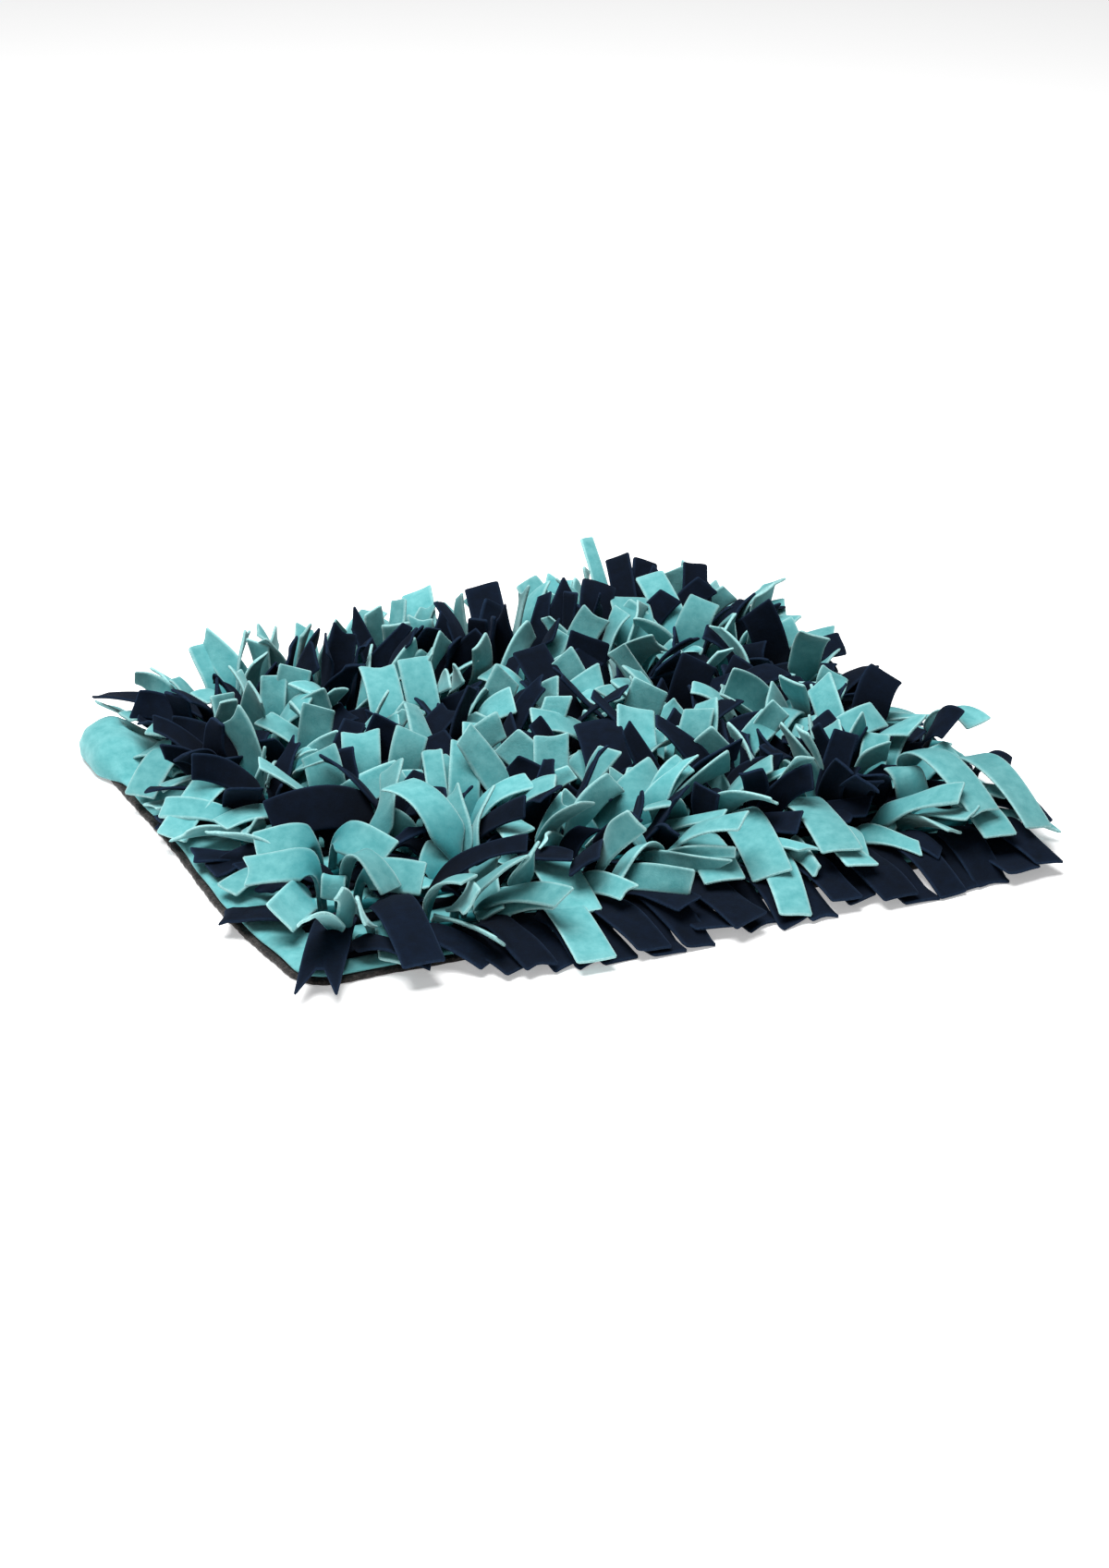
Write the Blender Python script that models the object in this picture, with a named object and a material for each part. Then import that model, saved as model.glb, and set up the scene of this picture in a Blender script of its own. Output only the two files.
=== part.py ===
"""Snuffle mat: fleece strips sewn in rows on a fleece-faced, non-slip mat.

The mat lies flat on the floor with its underside at z = 0, its long front edge along X and its
depth along Y. The strips stand in the middle, lean out past the rim and come down to the floor
along the front. Each row of strips is one object: a narrow fleece strip with the pinched roots
of its bunches fused into it.
"""

import math
import random

import bpy
from mathutils import Quaternion, Vector
from mathutils.bvhtree import BVHTree

MM = 0.001

# The two sheets that the pile is sewn on
MAT_LENGTH = 450 * MM       # along X
MAT_DEPTH = 360 * MM        # along Y
CORNER_RADIUS = 22 * MM
LEFT_BULGE = 7 * MM         # how far the left edge bows out, in front of its middle
EDGE_WAVE = 1.2 * MM        # height of the small waves along every edge
BACKING_THICK = 3.0 * MM
FACE_THICK = 2.2 * MM
FACE_INSET = 3.0 * MM       # how much of the backing shows round the face cloth
GAP = 0.3 * MM              # between one piece and the next

# A fleece strip and the narrow band that holds a row of them
STRIP_WIDTH = 19 * MM
STRIP_THICK = 2.0 * MM
STRIP_LENGTH = (54 * MM, 69 * MM)
BAND_WIDTH = 8 * MM
BAND_THICK = 3 * MM
BAND_MARGIN = 6 * MM        # band left over beyond its last root
ROOT_LENGTH = 4.5 * MM      # of a pinched root, along the band
ROOT_PLAY = 3 * MM          # how far a root may be off its even place
ROOT_APART = 6 * MM         # least from one root to the next
HEADING_STEP = 137.5        # degrees from the way one strip heads to the way the next does
STUB_HEIGHT = 5 * MM        # space kept free above a root until its strip is placed

# Where along a strip its section is set, and how much of its full width it has there
KNEE = 0.2                  # how far out the strip arches over, as a share of its reach
STATIONS = (0.0, 0.17, 0.38, 0.68, 1.0)
WIDTH_SHARE = (0.3, 0.34, 1.0, 1.0, 1.0)
THICK_SHARE = (2.0, 1.6, 1.0, 1.0, 1.0)
WIDTH_SPREAD = (0.72, 1.12) # narrowest and widest, as a share of the full width
POINTED = 0.25              # share of the strips that are cut to a point
POINTED_END = (0.35, 0.6)   # width left at a pointed tip, and at a square one
SQUARE_END = (0.85, 1)
CUT_SKEW = 3 * MM           # most that one corner of a tip is cut longer than the other
ARCH_START = 0.45           # a strip arches from this share of its tip's height, and rises
ARCH_RISE = (0.08, 0.26)    # over that by this share of its length
ROLL_SPREAD, TWIST_SPREAD = 34, 40  # degrees that its face turns, as a standard deviation
TURN_HEIGHT = 25 * MM       # nearer than this to what carries its tip it turns less

# How the pile leans: near an edge a strip's direction is pulled out over it by this share,
# fading to nothing this far inside the mat, and along the front it is swept to the right
LEAN_FRONT, LEAN_BACK, LEAN_RIGHT, LEAN_LEFT = 1.35, 0.35, 1.15, 0.90
LEAN_REACH = 85 * MM
SWEEP = 0.45
SAG = (0.66, 1.32)          # how far a tip beyond the mat's edge sinks, for each mm past it
FAN = (0.24, 0.78)          # sideways share of a strip that stands clear of every edge
LEAN_CALMS = 0.35           # share of the fan that a full lean takes away
HEADING_LOOSE = 50          # degrees that it may head off its own way, to either side
LOWEST = 1.15               # most that lean and fan come to: past 1 the tip hangs

# How high the pile stands. It comes down to these shares of its full height over the right edge
# and the back left corner, within these distances, and again in a few hollows
PILE_TOP = 70 * MM
RIGHT_SHARE, RIGHT_FADE, RIGHT_BEYOND = 0.44, 125 * MM, 20 * MM
CORNER_SHARE, CORNER_FADE = 0.5, 160 * MM
HOLLOWS = (
    dict(x=-180, y=-95, radius=85, share=0.2),
    dict(x=-120, y=-120, radius=55, share=0.3),
    dict(x=-150, y=-55, radius=60, share=0.4),
)
FILL_HEIGHT = (0.5, 0.85)   # of the pile's top, for strips without a place of their own
BACK_FILL = (0.78, 1.02)    # the same along the back edge
BACK_FADE = (60 * MM, 90 * MM)  # from here it grows from the one to the other, over this depth
BACK_CALM = 0.4             # how much less the strips fan out there
LEFT_OVERHANG = 3 * MM      # most that a strip passes over each of these edges
RIGHT_OVERHANG = 9 * MM
BACK_OVERHANG = 16 * MM
FRONT_OVERHANG = 34 * MM    # the same for the front edge, right of its left corner
BARE_CORNER = 24 * MM       # how far short of the left edge strips stay near its back corner
BARE_FADE = 50 * MM         # the depth that this begins at and grows over

# The front row, a skirt that lies on the floor before the mat
SKIRT_LINE = -150 * MM      # rows in front of this are the skirt
SKIRT_STRIPS = 26
SKIRT_FIRST, SKIRT_LAST = -196 * MM, 192 * MM
SKIRT_REACH = (30 * MM, 44 * MM)
SKIRT_SHORT = 7 * MM        # its reach at the front left corner
SKIRT_FADE = 95 * MM        # from there it grows to its full reach over this length
SKIRT_SWEEP = (13 * MM, 40 * MM)  # how far its tips lie to the right, and so at that corner
SKIRT_LOOSE = 3 * MM        # how far a tip may lie off its even place
SKIRT_LAYERS = (0.6, 2.0)   # height of a tip in the lower and the upper layer, in thicknesses
SKIRT_ARCH = (3 * MM, 12 * MM)  # height over its root that a strip of each layer arches to
SKIRT_WIDTH = (1, 1.25)     # share of the full width
SKIRT_LIFT = 0.05 * MM      # how much higher it is tried each time there is no room

SPACE = 0.25 * MM           # kept round each strip while the next ones are placed
TRIES = 160
TRY_TURN = 1.2              # degrees more that a strip may head off its way on each attempt
TRY_UPRIGHT = 0.6           # share of its fan, and of its length, lost by the last attempt
TRY_SHORTER = 0.25
MOVE_TIP = 0.07 * MM        # most that a strip from the table is moved on each attempt
MOVE_CREST = (-0.1 * MM, 0.25 * MM)
MOVE_TURN = 0.15            # degrees
SEED = 4

BACKING_TOP = BACKING_THICK
FACE_BOTTOM = BACKING_TOP + GAP
FACE_TOP = FACE_BOTTOM + FACE_THICK
BAND_BOTTOM = FACE_TOP + GAP
BAND_TOP = BAND_BOTTOM + BAND_THICK

# Rows from the front edge to the back one: the distance from the mat's middle, the cloth, the
# number of strips, and where the first and the last one is rooted
ROWS = (
    dict(y=-160, cloth="navy", strips=26, first=-192, last=203),
    dict(y=-146, cloth="mint", strips=24, first=-192, last=200),
    dict(y=-122, cloth="navy", strips=20, first=-190, last=196),
    dict(y=-106, cloth="mint", strips=22, first=-190, last=196),
    dict(y=-80, cloth="navy", strips=20, first=-190, last=198),
    dict(y=-58, cloth="mint", strips=22, first=-192, last=200),
    dict(y=-32, cloth="navy", strips=20, first=-190, last=192),
    dict(y=-6, cloth="mint", strips=22, first=-188, last=200),
    dict(y=22, cloth="navy", strips=20, first=-184, last=196),
    dict(y=48, cloth="mint", strips=22, first=-186, last=200),
    dict(y=74, cloth="navy", strips=20, first=-180, last=190),
    dict(y=102, cloth="mint", strips=22, first=-180, last=198),
    dict(y=130, cloth="navy", strips=19, first=-174, last=196),
    dict(y=156, cloth="mint", strips=21, first=-176, last=198),
)

# Strips with a place of their own, in millimetres and degrees: the row, where along it the
# strip is rooted, the tip, the height that it arches towards, the way its face turns in plan
# (None: square to its lean), how far it rolls and twists, its share of the full width and,
# where they aren't KNEE and 1, how far out it is pulled to that height and how sharp its bend is
PLACED = (
    dict(row=1, at=-71, tip=(-73, -224, 6), crest=20, facing=None, roll=0, twist=0, wide=1.2),
    dict(row=1, at=-5, tip=(-23, -107, 22), crest=50, facing=None, roll=20, twist=0, wide=0.8),
    dict(row=1, at=2, tip=(-38, -164, 18), crest=34, facing=None, roll=0, twist=20, wide=0.8),
    dict(row=1, at=65, tip=(50, -215, 6), crest=24, facing=None, roll=0, twist=0, wide=1),
    dict(row=1, at=101, tip=(98, -194, 8), crest=24, facing=None, roll=0, twist=0, wide=1),
    dict(row=1, at=163, tip=(162, -127, 42), crest=40, facing=-25, roll=0, twist=20, wide=1),
    dict(row=1, at=190, tip=(188, -195, 8), crest=26, facing=None, roll=0, twist=0, wide=1),
    dict(row=2, at=-195, tip=(-238, -92, 6), crest=20, facing=None, roll=0, twist=0, wide=1),
    dict(row=2, at=-182, tip=(-221, -189, 7), crest=24, facing=None, roll=0, twist=0, wide=1.2),
    dict(row=2, at=-158, tip=(-166, -199, 7), crest=26, facing=None, roll=0, twist=0, wide=1.25),
    dict(row=2, at=212, tip=(229, -134, 28), crest=44, facing=None, roll=0, twist=0, wide=1.2),
    dict(row=2, at=230, tip=(221, -185, 11), crest=26, facing=None, roll=0, twist=0, wide=0.8),
    dict(row=3, at=-192, tip=(-224, -131, 18), crest=25, facing=None, roll=-38, twist=0, wide=1.1,
         knee=0.05, bend=6),
    dict(row=3, at=-186, tip=(-223, -87, 25), crest=29, facing=None, roll=-38, twist=0, wide=1.05,
         knee=0.05, bend=6),
    dict(row=3, at=-174, tip=(-148, -144, 19), crest=36, facing=None, roll=20, twist=0, wide=0.9),
    dict(row=3, at=-166, tip=(-136, -131, 27), crest=31, facing=None, roll=38, twist=0, wide=1.05,
         knee=0.05, bend=6),
    dict(row=3, at=-103, tip=(-118, -56, 46), crest=62, facing=None, roll=0, twist=0, wide=1.25),
    dict(row=3, at=-88, tip=(-111, -163, 8), crest=34, facing=None, roll=20, twist=30, wide=1),
    dict(row=3, at=-61, tip=(-62, -178, 12), crest=34, facing=None, roll=10, twist=0, wide=1.3),
    dict(row=3, at=32, tip=(25, -183, 12), crest=34, facing=None, roll=0, twist=0, wide=1.2),
    dict(row=3, at=61, tip=(50, -188, 12), crest=36, facing=None, roll=0, twist=0, wide=1.2),
    dict(row=3, at=101, tip=(92, -191, 18), crest=40, facing=None, roll=0, twist=0, wide=1.25),
    dict(row=3, at=171, tip=(182, -184, 24), crest=46, facing=None, roll=0, twist=0, wide=1.05),
    dict(row=3, at=207, tip=(207, -195, 14), crest=34, facing=None, roll=0, twist=0, wide=1.05),
    dict(row=4, at=7, tip=(22, -17, 54), crest=38, facing=-25, roll=0, twist=0, wide=1.4),
    dict(row=4, at=200, tip=(216, -109, 44), crest=50, facing=None, roll=0, twist=20, wide=1.1),
    dict(row=5, at=-167, tip=(-203, -50, 28), crest=31, facing=None, roll=-38, twist=0, wide=1.05,
         knee=0.05, bend=6),
    dict(row=5, at=-160, tip=(-143, -93, 30), crest=34, facing=None, roll=38, twist=0, wide=1.1,
         knee=0.05, bend=6),
    dict(row=5, at=-93, tip=(-82, -18, 48), crest=34, facing=-25, roll=0, twist=0, wide=0.6),
    dict(row=5, at=-79, tip=(-42, -63, 46), crest=36, facing=None, roll=0, twist=0, wide=1),
    dict(row=5, at=-24, tip=(-15, -33, 50), crest=36, facing=-25, roll=0, twist=10, wide=1.05),
    dict(row=5, at=30, tip=(44, -18, 54), crest=38, facing=-25, roll=0, twist=30, wide=1.2),
    dict(row=5, at=58, tip=(79, -67, 50), crest=36, facing=-25, roll=0, twist=0, wide=1),
    dict(row=5, at=174, tip=(188, -100, 50), crest=40, facing=None, roll=0, twist=20, wide=1),
    dict(row=5, at=218, tip=(227, -102, 42), crest=60, facing=None, roll=0, twist=0, wide=1),
    dict(row=6, at=-176, tip=(-226, -36, 12), crest=24, facing=None, roll=0, twist=0, wide=0.9),
    dict(row=6, at=-120, tip=(-184, -25, 28), crest=44, facing=None, roll=-50, twist=0, wide=1.35),
    dict(row=6, at=191, tip=(209, -25, 52), crest=44, facing=-25, roll=0, twist=0, wide=1.15),
    dict(row=7, at=-158, tip=(-208, -7, 25), crest=34, facing=None, roll=0, twist=0, wide=1),
    dict(row=7, at=-145, tip=(-178, 9, 44), crest=40, facing=None, roll=0, twist=10, wide=1),
    dict(row=7, at=-144, tip=(-142, 8, 52), crest=36, facing=-25, roll=0, twist=0, wide=1.1),
    dict(row=7, at=-120, tip=(-111, 18, 55), crest=40, facing=-25, roll=0, twist=0, wide=1.15),
    dict(row=7, at=-97, tip=(-84, 4, 55), crest=40, facing=-25, roll=10, twist=0, wide=1),
    dict(row=7, at=-48, tip=(-40, 8, 52), crest=38, facing=-25, roll=10, twist=0, wide=1),
    dict(row=7, at=50, tip=(66, 1, 57), crest=40, facing=-25, roll=0, twist=0, wide=1.15),
    dict(row=7, at=160, tip=(107, -57, 30), crest=56, facing=None, roll=0, twist=0, wide=1),
    dict(row=8, at=-104, tip=(-93, 18, 57), crest=40, facing=-25, roll=0, twist=0, wide=1),
    dict(row=8, at=29, tip=(22, 79, 56), crest=40, facing=-25, roll=0, twist=10, wide=1.15),
    dict(row=8, at=96, tip=(109, 23, 58), crest=42, facing=-25, roll=0, twist=0, wide=1.15),
    dict(row=9, at=-175, tip=(-234, 12, 10), crest=30, facing=None, roll=0, twist=0, wide=1),
    dict(row=9, at=-175, tip=(-221, 55, 30), crest=34, facing=None, roll=15, twist=0, wide=0.8),
    dict(row=9, at=-130, tip=(-122, 53, 58), crest=40, facing=-25, roll=0, twist=0, wide=1),
    dict(row=9, at=-77, tip=(-66, 98, 60), crest=42, facing=-25, roll=0, twist=10, wide=1.1),
    dict(row=9, at=-54, tip=(-47, 92, 60), crest=42, facing=-25, roll=0, twist=0, wide=1),
    dict(row=9, at=49, tip=(40, 70, 54), crest=38, facing=-25, roll=0, twist=0, wide=0.9),
    dict(row=9, at=190, tip=(191, 32, 60), crest=44, facing=-25, roll=0, twist=0, wide=1),
    dict(row=10, at=52, tip=(66, 82, 57), crest=42, facing=-25, roll=0, twist=-10, wide=1.3),
    dict(row=10, at=188, tip=(177, 84, 58), crest=40, facing=-25, roll=0, twist=0, wide=1.1),
    dict(row=11, at=-188, tip=(-228, 71, 14), crest=46, facing=None, roll=0, twist=0, wide=1),
    dict(row=11, at=-140, tip=(-141, 127, 58), crest=40, facing=-25, roll=70, twist=0, wide=0.9),
    dict(row=11, at=-133, tip=(-129, 112, 55), crest=36, facing=-25, roll=0, twist=0, wide=0.8),
    dict(row=11, at=-124, tip=(-114, 109, 60), crest=40, facing=-25, roll=0, twist=0, wide=1),
    dict(row=11, at=108, tip=(119, 141, 57), crest=42, facing=-25, roll=0, twist=10, wide=1.25),
    dict(row=11, at=136, tip=(155, 105, 62), crest=44, facing=-25, roll=0, twist=0, wide=1.1),
    dict(row=11, at=140, tip=(139, 154, 60), crest=42, facing=-25, roll=0, twist=0, wide=0.95),
    dict(row=11, at=185, tip=(190, 85, 64), crest=50, facing=None, roll=20, twist=0, wide=1),
    dict(row=12, at=-178, tip=(-200, 145, 30), crest=24, facing=None, roll=0, twist=0, wide=1.2),
    dict(row=12, at=26, tip=(41, 187, 56), crest=42, facing=-25, roll=0, twist=-12, wide=1.1),
    dict(row=12, at=91, tip=(104, 153, 60), crest=60, facing=-25, roll=0, twist=20, wide=1.1),
    dict(row=12, at=116, tip=(131, 182, 64), crest=46, facing=-25, roll=-20, twist=0, wide=0.8),
    dict(row=12, at=128, tip=(140, 174, 64), crest=46, facing=-25, roll=0, twist=15, wide=0.9),
    dict(row=12, at=159, tip=(173, 159, 60), crest=46, facing=-25, roll=10, twist=0, wide=0.8),
    dict(row=13, at=-132, tip=(-161, 148, 36), crest=34, facing=None, roll=0, twist=0, wide=1),
    dict(row=13, at=-11, tip=(-1, 192, 60), crest=44, facing=-25, roll=-15, twist=0, wide=1),
    dict(row=13, at=116, tip=(117, 202, 70), crest=50, facing=-25, roll=0, twist=30, wide=0.5),
)


def cloth_material(name, colour, roughness):
    material = bpy.data.materials.new(name)
    material.use_nodes = True
    principled = material.node_tree.nodes["Principled BSDF"]
    principled.inputs["Base Color"].default_value = (*colour, 1)
    principled.inputs["Roughness"].default_value = roughness
    principled.inputs["Metallic"].default_value = 0
    return material


def add_object(name, vertices, faces, material):
    """A closed mesh as an object, its faces made triangles here so that they stay as placed."""
    mesh = bpy.data.meshes.new(name)
    mesh.from_pydata(vertices, [], faces)
    mesh.materials.append(material)
    mesh.validate()
    thing = bpy.data.objects.new(name, mesh)
    bpy.context.scene.collection.objects.link(thing)
    return thing


def smooth_step(share):
    share = min(max(share, 0), 1)
    return share * share * (3 - 2 * share)


# Sheets


def edge_bow(x, y):
    """How far the mat's edge stands out from a plain rounded rectangle at a point near it."""
    along_left = math.exp(-(((y + 70 * MM) / (95 * MM)) ** 2)) * LEFT_BULGE if x < 0 else 0
    wave = EDGE_WAVE * math.sin(x / (23 * MM) + 1) * math.cos(y / (31 * MM))
    return along_left * smooth_step((-x / (MAT_LENGTH / 2) - 0.8) * 5) + wave


def mat_outline(inset, phase):
    """Points round the mat, anticlockwise from above: four round corners and its uneven edges."""
    half_x, half_y = MAT_LENGTH / 2 - CORNER_RADIUS, MAT_DEPTH / 2 - CORNER_RADIUS
    corner_steps, edge_steps = 5, 9
    points = []
    corners = ((1, 1, 0), (-1, 1, 90), (-1, -1, 180), (1, -1, 270))
    for index, (sx, sy, start) in enumerate(corners):
        centre = Vector((sx * half_x, sy * half_y))
        for step in range(corner_steps + 1):
            angle = math.radians(start + 90 * step / corner_steps)
            points.append((centre, angle))
        next_sx, next_sy, _ = corners[(index + 1) % 4]
        following = Vector((next_sx * half_x, next_sy * half_y))
        for step in range(1, edge_steps):
            points.append((centre.lerp(following, step / edge_steps), math.radians(start + 90)))
    outline = []
    for number, (centre, angle) in enumerate(points):
        outward = Vector((math.cos(angle), math.sin(angle)))
        rim = centre + outward * CORNER_RADIUS
        uneven = edge_bow(rim.x, rim.y) + phase * 0.6 * MM * math.sin(number * 1.7)
        outline.append(centre + outward * (CORNER_RADIUS - inset + uneven))
    return outline


def add_sheet(name, outline, bottom, top, material):
    """A flat sheet: the outline at its underside and at its top, closed by two flat faces."""
    count = len(outline)
    vertices = [(p.x, p.y, bottom) for p in outline] + [(p.x, p.y, top) for p in outline]
    sides = [(i, (i + 1) % count, count + (i + 1) % count, count + i) for i in range(count)]
    underside = tuple(reversed(range(count)))
    upper = tuple(range(count, 2 * count))
    return add_object(name, vertices, [underside, upper, *sides], material)


# Strips


def ground(x, y):
    """Lowest height for a strip: over the bands on the mat, down to the floor outside it."""
    left_edge = MAT_LENGTH / 2 + edge_bow(x, y)
    outside = max(-x - left_edge, x - MAT_LENGTH / 2, abs(y) - MAT_DEPTH / 2)
    return (BAND_TOP + GAP) * smooth_step((15 * MM - outside) / (19 * MM))


def narrowing(shape, share):
    """The strip's width at this share of its length, against its full width."""
    return 1 - (1 - shape["taper"]) * smooth_step((share - 0.3) / 0.7)


def arch_point(root, pull, tip, share, bend):
    """A point of the arch at this share; a bend above 1 turns it more sharply near its pull."""
    start, rest = (1 - share) ** 2, bend * share
    point = root * start + pull * (2 * rest * (1 - share)) + tip * (rest * share)
    return point / (start + bend * (1 - start))


def strip_rings(shape):
    """The strip's section at each station, as four corners, from its pinched root to its tip."""
    root, tip = shape["root"], shape["tip"]
    across = tip - root
    across.z = 0
    pull = root + across * shape["knee"]
    pull.z = shape["crest"]
    line = []
    for share in STATIONS:
        line.append(arch_point(root, pull, tip, share, shape["bend"]))
    level = shape["level"]
    rings = []
    for index, share in enumerate(STATIONS):
        before, after = line[max(index - 1, 0)], line[min(index + 1, len(line) - 1)]
        along = (after - before).normalized()
        side = (level - along * level.dot(along)).normalized()
        side = Quaternion(along, shape["roll"] + shape["twist"] * share) @ side
        normal = along.cross(side)
        half_width = side * (shape["width"] * WIDTH_SHARE[index] * narrowing(shape, share) / 2)
        half_thick = normal * (STRIP_THICK * THICK_SHARE[index] / 2)
        cut = along * (shape["skew"] if index == len(STATIONS) - 1 else 0)
        ring = [
            line[index] + half_width + half_thick + cut,
            line[index] - half_width + half_thick - cut,
            line[index] - half_width - half_thick - cut,
            line[index] + half_width - half_thick + cut,
        ]
        lift = max(ground(p.x, p.y) - p.z for p in ring)
        if index and lift > 0:
            ring = [p + Vector((0, 0, lift)) for p in ring]
        rings.append(ring)
    return rings


def matched(ring, model):
    """The ring's corners in the order that twists least on the way to the model's corners."""
    middle = sum(model, Vector()) / 4
    towards = [(p - middle).normalized() for p in model]
    centre = sum(ring, Vector()) / 4
    own = [(p - centre).normalized() for p in ring]
    orders = [[(turn + i) % 4 for i in range(4)] for turn in range(4)]
    best = max(orders, key=lambda order: sum(own[order[i]].dot(towards[i]) for i in range(4)))
    return [ring[i] for i in best]


def tube_faces(ring_count):
    """Triangles along the four sides of stacked rings, and over the last one."""
    faces = []
    for ring in range(ring_count - 1):
        for side in range(4):
            a, b = ring * 4 + side, ring * 4 + (side + 1) % 4
            faces += [(a, b, b + 4), (a, b + 4, a + 4)]
    last = (ring_count - 1) * 4
    return faces + [(last, last + 1, last + 2), (last, last + 2, last + 3)]


def tree_of(rings, space):
    """The strip's surface for testing, with some space round it and its root end left free."""
    points = []
    for ring in rings:
        centre = sum(ring, Vector()) / 4
        points += [p + (p - centre).normalized() * space for p in ring]
    points[:4] = [p + Vector((0, 0, 0.5 * MM)) for p in points[:4]]
    return BVHTree.FromPolygons(points, tube_faces(len(rings)), all_triangles=True)


def bounds_of(rings):
    points = [p for ring in rings for p in ring]
    return [(min(p[k] for p in points), max(p[k] for p in points)) for k in range(3)]


class Pile:
    """The strips placed so far, each with its box, so that a new one can be tested quickly."""

    def __init__(self, roots):
        self.placed = []
        self.stubs = {}
        for key, (x, y) in roots.items():
            foot = root_ring(x, y)
            stub = [foot, [p + Vector((0, 0, STUB_HEIGHT)) for p in foot]]
            self.stubs[key] = (bounds_of(stub), tree_of(stub, 0))

    def clear(self, rings, own):
        box, tree = bounds_of(rings), tree_of(rings, SPACE)
        standing = [stub for key, stub in self.stubs.items() if key != own]
        for other_box, other_tree in self.placed + standing:
            apart = any(a[1] + SPACE < b[0] or b[1] + SPACE < a[0] for a, b in zip(box, other_box))
            if not apart and tree.overlap(other_tree):
                return False
        return True

    def add(self, rings, own):
        self.placed.append((bounds_of(rings), tree_of(rings, SPACE)))
        del self.stubs[own]


def leaning(x, y):
    """Pull on a strip's direction at a place on the mat: out over the edges that are near."""
    near_front = max(0, 1 - (y + MAT_DEPTH / 2) / LEAN_REACH)
    near_back = max(0, 1 - (MAT_DEPTH / 2 - y) / LEAN_REACH)
    near_right = max(0, 1 - (MAT_LENGTH / 2 - x) / LEAN_REACH)
    near_left = max(0, 1 - (x + MAT_LENGTH / 2) / LEAN_REACH)
    return Vector((
        LEAN_RIGHT * near_right - LEAN_LEFT * near_left + SWEEP * near_front,
        LEAN_BACK * near_back - LEAN_FRONT * near_front,
    ))


def pile_top(x, y):
    """Height of the pile at a place on the mat."""
    to_right = smooth_step((MAT_LENGTH / 2 + RIGHT_BEYOND - x) / RIGHT_FADE)
    to_corner = smooth_step(math.hypot(x + MAT_LENGTH / 2, y - MAT_DEPTH / 2) / CORNER_FADE)
    shares = [
        RIGHT_SHARE + (1 - RIGHT_SHARE) * to_right,
        CORNER_SHARE + (1 - CORNER_SHARE) * to_corner,
    ]
    for hollow in HOLLOWS:
        out = math.hypot(x - hollow["x"] * MM, y - hollow["y"] * MM) / (hollow["radius"] * MM)
        shares.append(hollow["share"] + (1 - hollow["share"]) * smooth_step(2 * out - 1))
    return PILE_TOP * min(shares)


def at_back(y):
    """How near to the back edge a place is, from 0 to 1."""
    return smooth_step((y - BACK_FADE[0]) / BACK_FADE[1])


def square_to(root, tip):
    """The level direction across a strip that leans from its root towards its tip."""
    lean = (tip - root).xy
    return Vector((-lean.y, lean.x, 0)).normalized() if lean.length > 1e-6 else Vector((1, 0, 0))


def skirt_growth(x):
    """How far the skirt has come to its full reach, from 0 at the front left corner to 1."""
    return smooth_step((x - SKIRT_FIRST) / SKIRT_FADE)


def skirt_strip(chance, root, along, attempt):
    """A strip of the front row: over the mat's edge and flat on the floor, every other one
    lying on its neighbours. along is its place in the row, from 0 to 1, and number its count."""
    number = round(along * (SKIRT_STRIPS - 1))
    loose = SKIRT_LOOSE + SKIRT_LIFT * attempt
    x = SKIRT_FIRST + (SKIRT_LAST - SKIRT_FIRST) * along + chance.uniform(-1, 1) * loose
    full = skirt_growth(x)
    nearer, further = SKIRT_SWEEP
    over = number % 2
    tip = Vector((
        x + further + (nearer - further) * full,
        -MAT_DEPTH / 2 - SKIRT_SHORT - (chance.uniform(*SKIRT_REACH) - SKIRT_SHORT) * full,
        STRIP_THICK * SKIRT_LAYERS[over] + SKIRT_LIFT * attempt,
    ))
    crest = root.z + SKIRT_ARCH[over] + chance.uniform(-1, 1) * MM + 2 * SKIRT_LIFT * attempt
    width = STRIP_WIDTH * chance.uniform(*SKIRT_WIDTH)
    return dict(
        root=root, tip=tip, crest=crest, knee=KNEE, bend=1, level=square_to(root, tip), roll=0,
        twist=0, width=width, skew=chance.uniform(-1, 1) * CUT_SKEW,
        taper=chance.uniform(*SQUARE_END),
    )


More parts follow.
